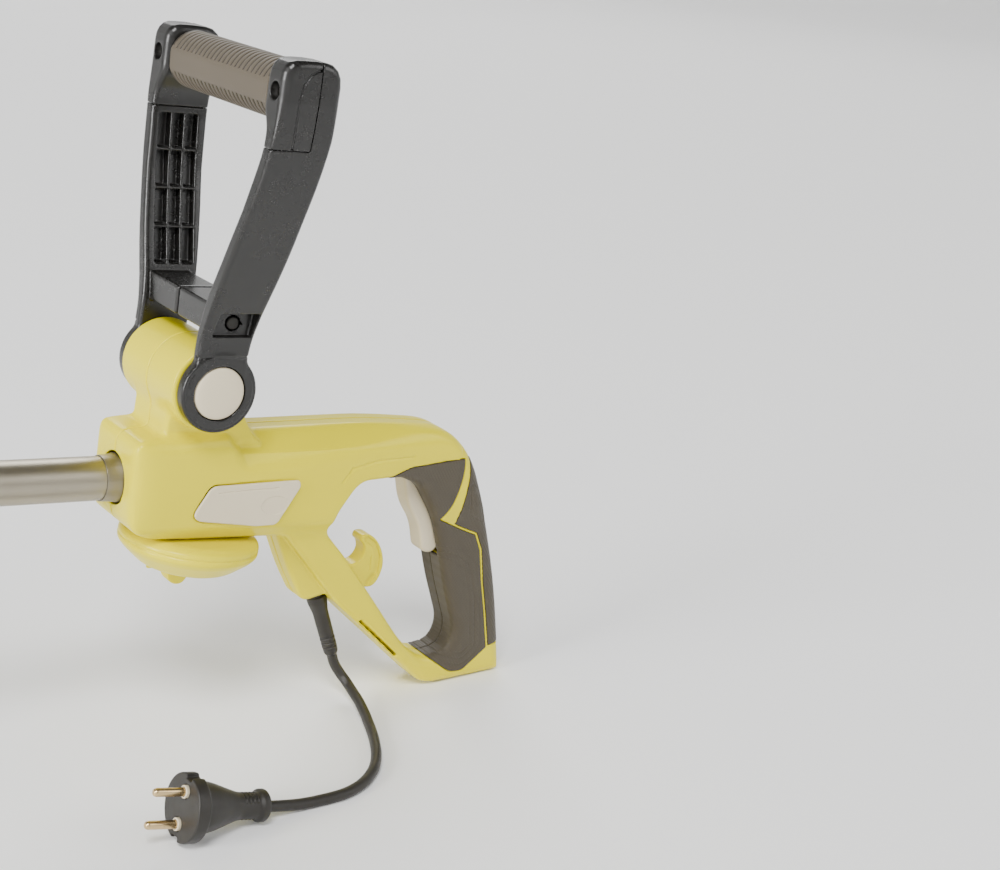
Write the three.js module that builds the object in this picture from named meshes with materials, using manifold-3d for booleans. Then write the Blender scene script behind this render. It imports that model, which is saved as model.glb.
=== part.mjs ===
// Electric string trimmer: D-handle over a rear housing with a trigger grip, a straight
// tube, and a motor head with guard, spool and line at the far end.
// Millimetres. Two frames are used. The machine frame has its origin on the axis that the
// D-handle tilts about, +X to the rear along the tube, +Z up at right angles to it.
// The outer group tilts the machine as it stands on a floor, so that the finished model has
// +Z up, z = 0 on the floor and its origin at the middle of the rear handle's foot.

import * as THREE from 'three';
import { mergeVertices } from 'three/addons/utils/BufferGeometryUtils.js';
import Module from 'manifold-3d';

const wasm = await Module();
wasm.setup();

// ---- driving dimensions ----
const gap = 0.3;                        // clearance between neighbouring pieces
const tilt = THREE.MathUtils.degToRad(4);       // tube's slope as the trimmer stands
const wall = 3.5;                       // thickness of the moulded shells

const tubeRadius = 12.5;
const tubeWall = 1.5;
const tubeZ = -60;                      // tube axis below the D-handle's axis
const tubeRearX = 42;                   // tube's end inside the housing

const bossRadius = 24.3;                // housing boss that carries the D-handle
const bossHalf = 32.8;
const discRadius = 22.6;                // round foot of each D-handle arm
const discInner = 33.2;
const discOuter = 41;
const buttonRadius = 15;

const gripX = 13;                       // D-handle's grip axis
const gripZ = 168;
const gripRadius = 16.3;
const gripHalf = 56.7;
const capSplitZ = 140;                  // joint between each arm and its end cap

const footFront = [190, -211];          // front edge of the rear handle's flat foot
const footRearX = 251;
const footMiddleX = 205;                // foot's middle, measured along the floor

const headBend = Math.PI / 4;           // motor axis against the tube axis
const headLength = 124;                 // tube axis to guard plate, along the motor axis
const rimReach = 155;                   // guard's rear lip, from the motor axis
const rimDrop = 35;                     // depth of the guard's skirt
const lineReach = 134;                  // cutting line, from the motor axis
const eyeletZ = -28;

const cordRadius = 3.25;
const reliefLength = 56;
const pinPitch = 19;
const plugRise = 0.21;                  // sine of the plug's slope on the floor

// height of the machine frame's origin over the floor, and the place of the head
const floorDrop = footFront[0] * Math.sin(tilt) - footFront[1] * Math.cos(tilt);
const bendCos = Math.cos(headBend);
const rimX = (rimReach - rimDrop - headLength) * bendCos;
const rimZ = tubeZ - (rimReach + rimDrop + headLength) * Math.sin(headBend);
const headX = (rimZ * Math.cos(tilt) + floorDrop) / Math.sin(tilt) - rimX;
const footZ = (x) => footFront[1] + (x - footFront[0]) * Math.tan(tilt);

// ---- finishes ----
const yellow = { color: 0xe6da00, roughness: 0.42, metalness: 0 };
const taupe = { color: 0x6e6655, roughness: 0.75, metalness: 0 };
const black = { color: 0x2b2926, roughness: 0.45, metalness: 0 };
const beige = { color: 0xe1d9c6, roughness: 0.5, metalness: 0 };
const gripRubber = { color: 0x8f8270, roughness: 0.8, metalness: 0 };
const steel = { color: 0xb9b6b0, roughness: 0.3, metalness: 1 };
const champagne = { color: 0x8c8474, roughness: 0.35, metalness: 0.9 };
const darkPlastic = { color: 0x3b3833, roughness: 0.6, metalness: 0 };
const brass = { color: 0xb99a5b, roughness: 0.25, metalness: 1 };
const copper = { color: 0xa8623a, roughness: 0.4, metalness: 1 };
const nylon = { color: 0xd9792b, roughness: 0.4, metalness: 0 };

// ---- shape helpers ----
function solid(geometry) {
  const bare = geometry.clone();
  bare.deleteAttribute('normal');
  bare.deleteAttribute('uv');
  const merged = mergeVertices(bare, 1e-3);
  const corners = [...merged.index.array];
  const faces = [];
  for (let i = 0; i < corners.length; i += 3) {
    const [a, b, c] = corners.slice(i, i + 3);
    if (a !== b && b !== c && c !== a) faces.push(a, b, c);
  }
  const vertProperties = new Float32Array(merged.attributes.position.array);
  const triVerts = new Uint32Array(faces);
  return new wasm.Manifold(new wasm.Mesh({ numProp: 3, vertProperties, triVerts }));
}

// closed outline through [a, b, cut] corners; cut is how far back from the corner its curve starts
function outline(corners) {
  const shape = new THREE.Shape();
  corners.forEach(([x, y, cut = 0], i) => {
    const corner = new THREE.Vector2(x, y);
    const towards = (other) => {
      const step = new THREE.Vector2(other[0] - x, other[1] - y);
      return step.setLength(Math.min(cut, step.length() / 2)).add(corner);
    };
    const start = towards(corners.at(i - 1));
    if (i === 0) shape.moveTo(start.x, start.y);
    else shape.lineTo(start.x, start.y);
    if (cut > 0) {
      const end = towards(corners[(i + 1) % corners.length]);
      shape.quadraticCurveTo(x, y, end.x, end.y);
    }
  });
  return shape;
}

// the same corners moved inwards by a distance
function inset(corners, distance) {
  const area = THREE.ShapeUtils.area(corners.map(([x, y]) => ({ x, y })));
  const side = Math.sign(area) * distance;
  return corners.map(([x, y, cut = 0], i) => {
    const [px, py] = corners.at(i - 1);
    const [nx, ny] = corners[(i + 1) % corners.length];
    const before = new THREE.Vector2(py - y, x - px).normalize();
    const after = new THREE.Vector2(y - ny, nx - x).normalize();
    const scale = side / (1 + before.dot(after));
    return [x + (before.x + after.x) * scale, y + (before.y + after.y) * scale, cut];
  });
}

function extrude(corners, depth) {
  return new THREE.ExtrudeGeometry(outline(corners), { depth, bevelEnabled: false, curveSegments: 2 });
}

// plates: an (x, z) outline between two y, a (y, z) outline between two x, an (x, y) outline between two z
function plateY(corners, y0, y1) {
  return solid(extrude(corners, Math.abs(y1 - y0)).rotateX(Math.PI / 2).translate(0, Math.max(y0, y1), 0));
}

function plateX(corners, x0, x1) {
  return solid(extrude(corners, x1 - x0).rotateX(Math.PI / 2).rotateZ(Math.PI / 2).translate(x0, 0, 0));
}

function plateZ(corners, z0, z1) {
  return solid(extrude(corners, z1 - z0).translate(0, 0, z0));
}

function box(x0, x1, y0, y1, z0, z1) {
  const geometry = new THREE.BoxGeometry(x1 - x0, Math.abs(y1 - y0), z1 - z0);
  return solid(geometry.translate((x0 + x1) / 2, (y0 + y1) / 2, (z0 + z1) / 2));
}

function roundY(radius, x, z, y0, y1, sides = 20) {
  const geometry = new THREE.CylinderGeometry(radius, radius, Math.abs(y1 - y0), sides);
  return solid(geometry.translate(x, (y0 + y1) / 2, z));
}

function roundX(radius, y, z, x0, x1, sides = 24) {
  const geometry = new THREE.CylinderGeometry(radius, radius, x1 - x0, sides).rotateZ(Math.PI / 2);
  return solid(geometry.translate((x0 + x1) / 2, y, z));
}

// [radius, height] corners as a lathe profile that turns into a solid facing outwards
function latheProfile(corners) {
  const profile = corners.map(([r, h]) => new THREE.Vector2(r, h));
  if (THREE.ShapeUtils.area(profile) < 0) profile.reverse();
  if (profile[0].x > 0) profile.push(profile[0].clone());
  return profile;
}

// turned solid about the Z axis from [radius, z] corners
function turned(corners, sides = 20) {
  return solid(new THREE.LatheGeometry(latheProfile(corners), sides).rotateX(Math.PI / 2));
}

// turned solid about the Y axis from [radius, |y|] corners, on the far side (+1) or the near side (-1)
function turnedY(corners, side, sides = 24) {
  const facing = corners.map(([r, y]) => [r, y * side]);
  return solid(new THREE.LatheGeometry(latheProfile(facing), sides));
}

function rod(points, radius, steps, sides = 8) {
  const circle = new THREE.Shape();
  for (let i = 0; i < sides; i += 1) {
    const angle = (i * 2 * Math.PI) / sides;
    const corner = [radius * Math.cos(angle), radius * Math.sin(angle)];
    if (i === 0) circle.moveTo(...corner);
    else circle.lineTo(...corner);
  }
  const knots = points.map((point) => new THREE.Vector3(...point));
  const extrudePath = new THREE.CatmullRomCurve3(knots, false, 'centripetal');
  return solid(new THREE.ExtrudeGeometry(circle, { extrudePath, steps, bevelEnabled: false }));
}

// helical spring along a direction, from one end's centre to the other's
function coilSpring(radius, wire, turns, length) {
  const points = [];
  const perTurn = 8;
  for (let i = 0; i <= turns * perTurn; i += 1) {
    const angle = (i * 2 * Math.PI) / perTurn;
    const height = wire + ((length - 2 * wire) * i) / (turns * perTurn);
    points.push([radius * Math.cos(angle), radius * Math.sin(angle), height]);
  }
  return rod(points, wire, turns * perTurn, 5);
}

const machine = new THREE.Group();
const head = new THREE.Group();
const floor = new THREE.Group();

function node(name, shape, finish, group = machine) {
  const { vertProperties, triVerts } = shape.getMesh();
  const geometry = new THREE.BufferGeometry();
  geometry.setAttribute('position', new THREE.BufferAttribute(vertProperties, 3));
  geometry.setIndex(new THREE.BufferAttribute(triVerts, 1));
  const mesh = new THREE.Mesh(geometry, new THREE.MeshStandardMaterial(finish));
  mesh.name = name;
  group.add(mesh);
  return mesh;
}

const sides = [['left', -1], ['right', 1]];     // left is the side towards -Y

// ---- rear housing: two half shells joined on the middle plane ----
const housingSide = [
  [-22, -91, 4], [-37, -84, 8], [-39.5, -60], [-39.5, -33, 7], [-25, -30.5, 4], [40, -30.5],
  [125, -29, 20], [172, -33, 12], [192, -46, 12], [203, -62, 6], [216, -90, 20], [235, -142, 30],
  [footRearX, footZ(footRearX), 4], [footFront[0], footZ(footFront[0]), 8], [112, -146, 2],
  [107, -140, 2], [92, -144, 5], [78, -122, 12], [66, -95, 5], [0, -93],
];
const handHole = [
  [112, -63, 8], [144, -63, 4], [160, -70, 6], [178, -95, 12], [187, -120, 4], [193, -139, 12],
  [208, -174, 8], [204, -188, 8], [184, -191, 8], [166, -177, 10], [136, -141, 6], [112, -113],
  [96, -96, 6], [97, -84, 8],
];
const housingPlan = [
  [-39.5, -25, 6], [-27, -30, 10], [20, -29], [90, -26, 20], [180, -17.5, 20], [footRearX, -15],
  [footRearX, 15], [180, 17.5, 20], [90, 26, 20], [20, 29], [-27, 30, 10], [-39.5, 25, 6],
];
const housingFront = [
  [-11, -29, 2], [-27, -46, 8], [-30, -60, 10], [-28, -84, 8], [-17.5, -96, 8], [-15, -212],
  [15, -212], [17.5, -96, 8], [28, -84, 8], [30, -60, 10], [27, -46, 8], [11, -29, 2],
];
const pivotNeck = [[-19, 0], [-20, -34, 4], [40, -34], [32, -25, 6], [23, -8]];

function housingBody(thickness) {
  const reach = (corners) => inset(corners, thickness);
  const body = plateY(reach(housingSide), -40, 40)
    .intersect(plateZ(reach(housingPlan), -220, 0))
    .intersect(plateX(reach(housingFront), -60, 260));
  return body.subtract(plateY(inset(handHole, -thickness), -40, 40));
}

// the boss is solid, with a stepped pocket at each end for the lock gear
function pivotBoss() {
  const boss = roundY(bossRadius, 0, 0, -bossHalf, bossHalf, 32);
  return boss.add(plateY(pivotNeck, -21, 21));
}

function pivotPockets() {
  return roundY(9, 0, 0, -bossHalf - 1, bossHalf + 1)
    .add(roundY(16.5, 0, 0, -bossHalf - 1, -18))
    .add(roundY(16.5, 0, 0, 18, bossHalf + 1));
}

const screwSpots = [[-22, -84], [100, -43], [145, -162], [228, -197]];
const screwBoss = 6.2;
const noseBack = -22;                           // the nose is solid in front of this
const badgeFloor = 27;
const badgeCorners = [
  [-1, -75, 4], [9, -58, 4], [66, -57, 2], [67.5, -61, 2], [54, -84.5, 3], [40, -84.5], [2, -79, 3],
];
const hookFoot = [[114.8, -124.9], [119, -121.2], [135, -139.8], [130.8, -143.5]];
const triggerSlot = [[138, -60], [158, -60], [176, -72], [204, -100], [204, -121], [184, -123], [150, -70]];
const reliefTop = [101.5, -133.5];              // inner end of the cord's strain relief
const reliefSlope = Math.atan2(0.39, 0.92);     // its lean to the rear, from straight down

function reliefBore(radius) {
  const geometry = new THREE.CylinderGeometry(radius, radius, 60, 16).translate(0, -30, 0);
  geometry.rotateX(Math.PI / 2).rotateY(-reliefSlope);
  return solid(geometry.translate(reliefTop[0], 0, reliefTop[1]));
}

// grip cover: soft layer over the rear grip, standing on the shell
const coverCorners = [
  [131, -63, 3], [148, -56, 4], [176, -56], [189, -80, 4], [186, -97, 4], [210, -108, 3], [214, -122, 10],
  [227, -172, 10], [231, -190, 5], [208, -203, 6], [188, -196, 6],
];

// the right shell's half of the space: it carries the tongue that closes the foot's joint line
function shellHalf(side) {
  const half = box(-60, 260, side * gap / 2, side * 45, -220, 40);
  const inner = 198;
  const outer = 244;
  if (side > 0) return half.add(box(inner, outer, -5, 5, -220, -200));
  return half.subtract(box(inner - gap, outer + gap, -5 - gap, 5, -220, -200 + gap));
}

function housingShell(side) {
  let shell = housingBody(0).add(pivotBoss());
  const hollow = housingBody(wall).subtract(box(-60, noseBack, -40, 40, -220, 0));
  shell = shell.subtract(hollow);
  shell = shell.subtract(pivotPockets());
  for (const [x, z] of screwSpots) {
    const pillar = roundY(screwBoss, x, z, -40, 40, 16);
    shell = shell.add(pillar.intersect(housingBody(1)));
  }
  const rib = box(22, 26, -32, 32, -94, -30);
  shell = shell.add(rib.intersect(housingBody(1)));
  shell = shell.subtract(roundX(tubeRadius + gap, 0, tubeZ, -70, tubeRearX + 2, 32));
  shell = shell.subtract(roundX(15.5, 0, tubeZ, -70, -29, 32));
  shell = shell.subtract(plateY(triggerSlot, -8, 8));
  shell = shell.subtract(reliefBore(6.6));
  for (const [x, z] of screwSpots) {
    shell = shell.subtract(roundY(2.2, x, z, -11, 40, 12));
    shell = shell.subtract(roundY(4.4, x, z, 9, 40, 12));
  }
  shell = shell.subtract(badgeSeat(side)).subtract(hookSeat()).subtract(coverBlank(side, gap));
  return shell.intersect(shellHalf(side));
}

function badgeSeat(side) {
  return plateY(badgeCorners, side * badgeFloor, side * 40);
}

function hookSeat() {
  return plateY(inset(hookFoot, -gap), -6.3, 6.3);
}

// the cover's space: what lies inside its outline and outside a core 2.5 mm under the surface
function coverBlank(side, clearance) {
  const zone = plateY(inset(coverCorners, -clearance), side * 4, side * 40);
  return zone.subtract(housingBody(2.2 + clearance));
}

function gripCover(side) {
  const zone = plateY(coverCorners, side * 9.2, side * 40);
  const layer = housingBody(0).intersect(zone).subtract(housingBody(2.2));
  return layer.subtract(plateY(inset(triggerSlot, -gap), -9, 9));
}

for (const [name, side] of sides) {
  node(`housing_${name}_shell`, housingShell(side), yellow);
  node(`grip_cover_${name}`, gripCover(side), taupe);
  const badge = plateY(inset(badgeCorners, gap), side * (badgeFloor + gap), side * 29);
  node(`badge_${name}`, badge, beige);
}

// ---- cord hook under the hand opening, spare spool holder under the front ----
const hookCorners = [
  hookFoot[0], hookFoot[1], [125, -124.5, 3], [131, -122, 4], [134, -116, 4], [132, -110.5, 2],
  [129.5, -109, 1.5], [130, -105, 2.5], [136, -104.5, 4], [143.5, -110, 6], [149, -121, 8], [149, -131, 8],
  [144, -140.5, 5], hookFoot[2], hookFoot[3],
];
node('cord_hook', plateY(hookCorners, -6, 6), yellow);

const holderProfile = [[0, 0], [36, 0], [41, -3], [41, -9], [38.5, -12], [27, -21.5], [0, -24]];
const latchCorners = [[-12, -18], [-12, -29, 2], [-8, -33, 3], [-2, -33, 3], [1, -29, 2], [1, -18]];
const holder = turned(holderProfile, 28).add(plateY(latchCorners, -5, 5));
const holderNode = node('spare_spool_holder', holder, yellow);
holderNode.position.set(14, 0, -94);
holderNode.rotation.y = THREE.MathUtils.degToRad(4);

// ---- trigger, its pin and spring, the switch and the leads ----
const triggerPivot = [149, -51];
const triggerCorners = [
  [142, -46, 4], [155, -45, 4], [158, -60], [172, -72, 6], [184, -92, 8], [188.5, -116, 2], [184, -120.5, 3],
  [176, -119, 4], [171, -101, 8], [160, -87, 8], [154, -66, 4], [144, -58, 4],
];
const trigger = plateY(triggerCorners, -7.2, 7.2).subtract(roundY(2.3, ...triggerPivot, -9, 9, 16));
node('trigger', trigger, beige);
node('trigger_pin', roundY(2, ...triggerPivot, -9, 9, 16), steel);
const triggerSpring = node('trigger_spring', coilSpring(3, 0.6, 5, 11), steel);
triggerSpring.position.set(178, 0, -79);
triggerSpring.rotation.y = THREE.MathUtils.degToRad(50);
node('switch_body', box(160, 177, -7, 7, -56, -42), darkPlastic);
const innerLead = [[101, -7, -130], [85, -7, -101], [92, -7, -72], [118, -7, -51], [138, -7, -52]];
node('inner_lead', rod(innerLead, 2.4, 14), darkPlastic);
const motorLead = [
  [156, 11.5, -43], [138, 11.5, -44.5], [110, 8, -53], [80, 4, -59], [46, 0, tubeZ], [-380, 0, tubeZ],
  [headX + 44, 0, tubeZ],
];
node('motor_lead', rod(motorLead, 2.4, 18), darkPlastic);

screwSpots.forEach(([x, z], i) => {
  const screw = roundY(1.9, x, z, -10, 9.5, 10).add(roundY(4, x, z, 9.3, 12, 12));
  node(`housing_screw_${i + 1}`, screw, steel);
});

// ---- D-handle ----
const armSide = [
  [-15, 6], [-15.6, 22, 6], [-14.3, 40], [-9.5, 101, 20], [-6, 135], [-4.5, 160, 8], [-4.5, 187, 11],
  [31, 187, 17], [30.5, 160, 10], [27.8, 125, 20], [24.8, 94, 20], [17.5, 38, 10], [15, 22, 4], [15, 6],
];
const armOuter = [
  [discOuter, -23], [discOuter, 31, 6], [50.5, 61, 12], [70.5, 121, 20], [76.8, 158, 16], [76.8, 188],
];
const armInner = [
  [57, 188], [57, 158, 4], [64.3, 147, 4], [64.3, 138, 8], [51.6, 90, 16], [36, 50, 8],
  [discInner, 34, 4], [discInner, -23],
];
const braceZ = [34, 50];
const armScrew = [4.6, 39];
const capScrew = (side) => [side * 68, 169.6];

function armBlank(side) {
  const facing = [...armOuter, ...armInner].map(([y, z, cut]) => [side * y, z, cut]);
  const strip = plateX(facing, -40, 40).intersect(plateY(armSide, side * 30, side * 80));
  const disc = roundY(discRadius, 0, 0, side * discInner, side * discOuter, 32);
  return strip.add(disc);
}

// ribbed channel on the arm's inner face: a grid of pockets
function armPockets(side) {
  const behind = armOuter.map(([y, z, cut]) => [side * (y - wall), z, cut]);
  const open = [[side * 20, 188], [side * 20, -23]];
  const slab = plateX([...behind, ...open], -40, 40);
  const columns = [[-3.4, 4.2], [6, 13], [14.8, 22]];
  const rows = [[56, 73], [75, 94], [96, 115], [117, 134]];
  let cells = null;
  for (const [x0, x1] of columns) {
    for (const [z0, z1] of rows) {
      const lean = ((z0 + z1) / 2 - 95) * 0.09;
      const cell = box(x0 + lean, x1 + lean, side * 20, side * 80, z0, z1);
      cells = cells ? cells.add(cell) : cell;
    }
  }
  return slab.intersect(cells);
}

function armBrace(side) {
  const block = box(-10.5, 15, side * gap / 2, side * 40, ...braceZ);
  return block.subtract(box(-7.5, 16, side * 2.5, side * 30, braceZ[0] + 9, braceZ[1] - 2.5));
}

function handleArm(side) {
  let arm = armBlank(side).add(armBrace(side)).subtract(armPockets(side));
  arm = arm.intersect(box(-40, 40, 0, side * 90, -40, capSplitZ - gap / 2));
  arm = arm.subtract(roundY(buttonRadius + 0.4, 0, 0, side * 34.6, side * 50, 32));
  arm = arm.subtract(roundY(9, 0, 0, side * 30, side * 50, 24));
  arm = arm.subtract(roundY(2.4, ...armScrew, -45, 22, 12));
  arm = arm.subtract(roundY(4.4, ...armScrew, -45, -35.3, 12));
  const recess = [[-9, 32, 1], [15, 32, 1], [17, 46, 1], [-7, 46, 1]];
  return arm.subtract(plateY(recess, side * 38.2, side * 60));
}

function handleCap(side) {
  let cap = armBlank(side).intersect(box(-40, 40, side * 50, side * 90, capSplitZ + gap / 2, 200));
  cap = cap.subtract(roundY(9.3, gripX, gripZ, side * 50, side * 62.3, 24));
  cap = cap.subtract(roundX(4.7, ...capScrew(side), -20, 2.3, 16));
  cap = cap.subtract(roundX(2.3, ...capScrew(side), -20, 22, 12));
  const panel = [[3, 146, 3], [2.5, 176, 10], [26.5, 176, 12], [25, 146, 3]];
  return cap.subtract(plateY(panel, side * 76.2, side * 90));
}

for (const [name, side] of sides) {
  node(`handle_arm_${name}`, handleArm(side), black);
  node(`handle_cap_${name}`, handleCap(side), black);
  const screwHead = roundX(4.2, ...capScrew(side), -0.2, 2, 12);
  node(`cap_screw_${name}`, screwHead.add(roundX(2, ...capScrew(side), 1.9, 21, 10)), steel);
  const buttonProfile = [
    [0, 18.3], [6, 18.3], [6, 38.3], [buttonRadius, 38.3], [buttonRadius, 41], [12, 42.2], [0, 42.8],
  ];
  node(`pivot_button_${name}`, turnedY(buttonProfile, side, 28), beige);
}

const gripSleeve = roundY(gripRadius, gripX, gripZ, -gripHalf, gripHalf, 32);
node('grip_sleeve', gripSleeve.subtract(roundY(9.3, gripX, gripZ, -60, 60, 24)), gripRubber);
const gripCore = roundY(9, gripX, gripZ, -62, 62, 24).subtract(roundY(7, gripX, gripZ, -63, 63, 24));
node('grip_core', gripCore, steel);
const clampScrew = roundY(4, ...armScrew, -38, -35.6, 12).add(roundY(2.1, ...armScrew, -36, 20, 10));
node('arm_screw', clampScrew, steel);

// lock gears slide with the buttons in the boss pockets; the spring between them keeps them out
function lockGear(side) {
  const teeth = [];
  const count = 12;
  for (let i = 0; i < count * 2; i += 1) {
    const radius = i % 2 ? 15.8 : 13.2;
    for (const offset of [-0.3, 0.3]) {
      const angle = ((i + offset) * Math.PI) / count;
      teeth.push([radius * Math.cos(angle), radius * Math.sin(angle)]);
    }
  }
  return plateY(teeth, side * 22, side * 28).subtract(roundY(6.3, 0, 0, side * 20, side * 30, 24));
}

for (const [name, side] of sides) node(`lock_gear_${name}`, lockGear(side), darkPlastic);
const lockSpring = node('lock_spring', coilSpring(7.5, 0.7, 7, 43), steel);
lockSpring.position.set(0, 21.5, 0);
lockSpring.rotation.x = Math.PI / 2;

// ---- tube and its ferrule ----
const tube = roundX(tubeRadius, 0, tubeZ, headX + 34, tubeRearX, 32);
node('shaft_tube', tube.subtract(roundX(tubeRadius - tubeWall, 0, tubeZ, headX, 60, 24)), champagne);
const ferrule = turned([[tubeRadius + gap, 0], [14, 0], [15.2, 3], [15.2, 10], [tubeRadius + gap, 10]], 28);
const ferruleNode = node('shaft_ferrule', ferrule, champagne);
ferruleNode.position.set(-41, 0, tubeZ);
ferruleNode.rotation.y = Math.PI / 2;

// ---- cord: strain relief, lead on the floor, round plug with two pins ----
// route from the relief's end to the plug, in the finished frame
const cordRoute = [
  [-94.7, 0, 30], [-92.2, 0, 22.8], [-88.6, -1.6, 16.2], [-86.2, -6.5, 11.4], [-86, -14, 8.3],
  [-86.8, -23, 6], [-89.4, -34, 4.3], [-93.7, -46.5, 3.5], [-99.2, -60.5, 3.3], [-105, -73, 3.3],
  [-111.4, -84.5, 3.3], [-118.8, -94.8, 3.3], [-127.4, -103.4, 3.3], [-136.4, -109.8, 3.3],
  [-144.6, -113.6, 3.3], [-152, -115.6, 3.3], [-160.4, -116.3, 3.3], [-168, -116.2, 3.3],
  [-175, -116.1, 3.5], [-182, -116.2, 4.2], [-189, -116.5, 5.4], [-196.5, -116.9, 7], [-204, -117, 8.6],
];
node('cord', rod(cordRoute, cordRadius, 36, 8), darkPlastic, floor);

const relief = turned([
  [0, 0], [3.6, 0], [4.6, 4], [4.9, 36], [6.2, 40.5], [6.2, 45], [5.2, 45.5], [5.2, reliefLength],
  [0, reliefLength],
], 14);
const reliefSteps = [6, 9.5, 13];
const reliefGrooves = reliefSteps.map((z) => turned([[4.2, z], [6, z], [6, z + 1.6], [4.2, z + 1.6]], 14));
const reliefBody = reliefGrooves.reduce((body, groove) => body.subtract(groove), relief);
const reliefNode = node('strain_relief', reliefBody, darkPlastic, floor);
const start = new THREE.Vector3(...cordRoute[0]);
const down = new THREE.Vector3(...cordRoute[1]).sub(start).normalize();
reliefNode.position.copy(start).addScaledVector(down, -gap);
reliefNode.rotation.y = Math.atan2(-down.x, -down.z);

const plug = new THREE.Group();
plug.position.set(cordRoute.at(-1)[0] - gap, cordRoute.at(-1)[1], cordRoute.at(-1)[2] + 0.9);
plug.rotation.y = -Math.PI / 2 + Math.asin(plugRise);
floor.add(plug);
const plugLength = 52;
const socketFloor = plugLength - 8;
const plugProfile = [
  [0, 0], [7.5, 0], [9.2, 1.5], [9.2, 5], [7.6, 6.5], [7.6, 18], [9.5, 24], [13, 34], [15, 43], [19, 44.5],
  [19, plugLength], [0, plugLength],
];
let plugBody = turned(plugProfile, 24);
plugBody = plugBody.subtract(box(16.4, 24, -3, 3, 40, 60)).subtract(box(-24, -16.4, -3, 3, 40, 60));
for (const [, side] of sides) plugBody = plugBody.subtract(pinSocket(side));
node('plug_body', plugBody, darkPlastic, plug);

function pinSocket(side) {
  const bore = [[0, socketFloor], [3.9, socketFloor], [3.9, plugLength + 4], [0, plugLength + 4]];
  return turned(bore, 12).translate(side * pinPitch / 2, 0, 0);
}

sides.forEach(([, side], i) => {
  const foot = socketFloor + 0.4;
  const collar = turned([[2.7, foot], [3.6, foot], [3.6, plugLength + 1.4], [2.7, plugLength + 1.4]], 12);
  node(`pin_collar_${i + 1}`, collar.translate(side * pinPitch / 2, 0, 0), beige, plug);
  const pin = turned([[0, foot], [2.4, foot], [2.4, 70], [1.5, 71.4], [0, 71.4]], 12);
  node(`plug_pin_${i + 1}`, pin.translate(side * pinPitch / 2, 0, 0), brass, plug);
});

// ---- motor head, in its own frame: +Z up the motor axis, +X towards the user ----
const headNeck = (radius, from, to) => {
  const geometry = new THREE.CylinderGeometry(radius, radius, to - from, 32).translate(0, (from + to) / 2, 0);
  geometry.rotateX(Math.PI / 2).rotateY(headBend);
  return solid(geometry.translate(0, 0, headLength));
};
const motorProfile = [
  [0, 1], [39, 1], [42, 8], [42, 62], [37, 84], [30, 106], [22, 128], [12, 138], [0, 140],
];
const motorInner = [
  [0, 4], [36.4, 4], [39, 10], [39, 61], [34, 83], [27, 105], [19, 127], [10, 135], [0, 137],
];

function motorShell(side) {
  let shell = turned(motorProfile, 28).add(headNeck(20, 0, 78));
  shell = shell.subtract(turned(motorInner, 24)).subtract(headNeck(tubeRadius + gap, 20, 90));
  shell = shell.subtract(turned([[0, -2], [11.3, -2], [11.3, 8], [0, 8]], 24));
  for (let i = -3; i <= 3; i += 1) {
    shell = shell.subtract(box(-3 + i * 10, 3 + i * 10, side * 20, side * 50, 16, 40));
  }
  return shell.intersect(box(-120, 120, side * gap / 2, side * 60, -10, 260));
}

for (const [name, side] of sides) node(`motor_${name}_shell`, motorShell(side), yellow, head);
node('motor_stator', turned([[24, 22], [36, 22], [36, 64], [24, 64]]), copper, head);
const armature = [[4.3, 18], [10, 18], [10, 24], [22.5, 24], [22.5, 62], [10, 62], [10, 78], [4.3, 78]];
node('motor_armature', turned(armature), copper, head);
node('motor_shaft', turned([[0, -16], [4, -16], [4, 98], [0, 98]], 20), steel, head);
node('upper_bearing', turned([[4.3, 86], [11, 86], [11, 93], [4.3, 93]], 24), steel, head);
node('lower_bearing', turned([[4.3, -1], [11, -1], [11, 5], [4.3, 5]], 24), steel, head);

let fan = turned([[4.3, 6.5], [31, 6.5], [31, 8], [9, 8], [9, 14], [4.3, 14]], 20);
const bladeCount = 9;
for (let i = 0; i < bladeCount; i += 1) {
  const blade = box(8.5, 30, -0.8, 0.8, 7.5, 15).rotate([0, 0, (i * 360) / bladeCount]);
  fan = fan.add(blade);
}
node('cooling_fan', fan, darkPlastic, head);

// ---- guard with its line cutter ----
const guardPlan = [
  [rimReach, -72, 16], [rimReach, 72, 16], [128, 110, 20], [66, 130, 6], [0, 92, 30], [-54, 44, 24],
  [-54, -44, 24], [0, -92, 30], [66, -130, 6], [128, -110, 20],
];
let guard = plateZ(guardPlan, -rimDrop, 0.6).subtract(plateZ(inset(guardPlan, wall), -rimDrop - 1, -2.4));
guard = guard.subtract(box(-80, 62, -160, 160, -60, -2.4));
guard = guard.subtract(turned([[0, -20], [12, -20], [12, 10], [0, 10]], 24));
guard = guard.add(box(46, 64, 117, 129, -18, 0));
node('guard', guard, black, head);
const cutterFoot = box(46.5, 61.6, 117, 140, -19.8, -18.3);
const cutterBlade = box(60, 61.6, 124, 140, -32, -18.3);
node('line_cutter', cutterFoot.add(cutterBlade), steel, head);
const cutterScrew = turned([[0, -22.4], [3.6, -22.4], [3.6, -20.1], [0, -20.1]], 12).translate(53, 122, 0);
node('cutter_screw', cutterScrew, steel, head);

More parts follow.
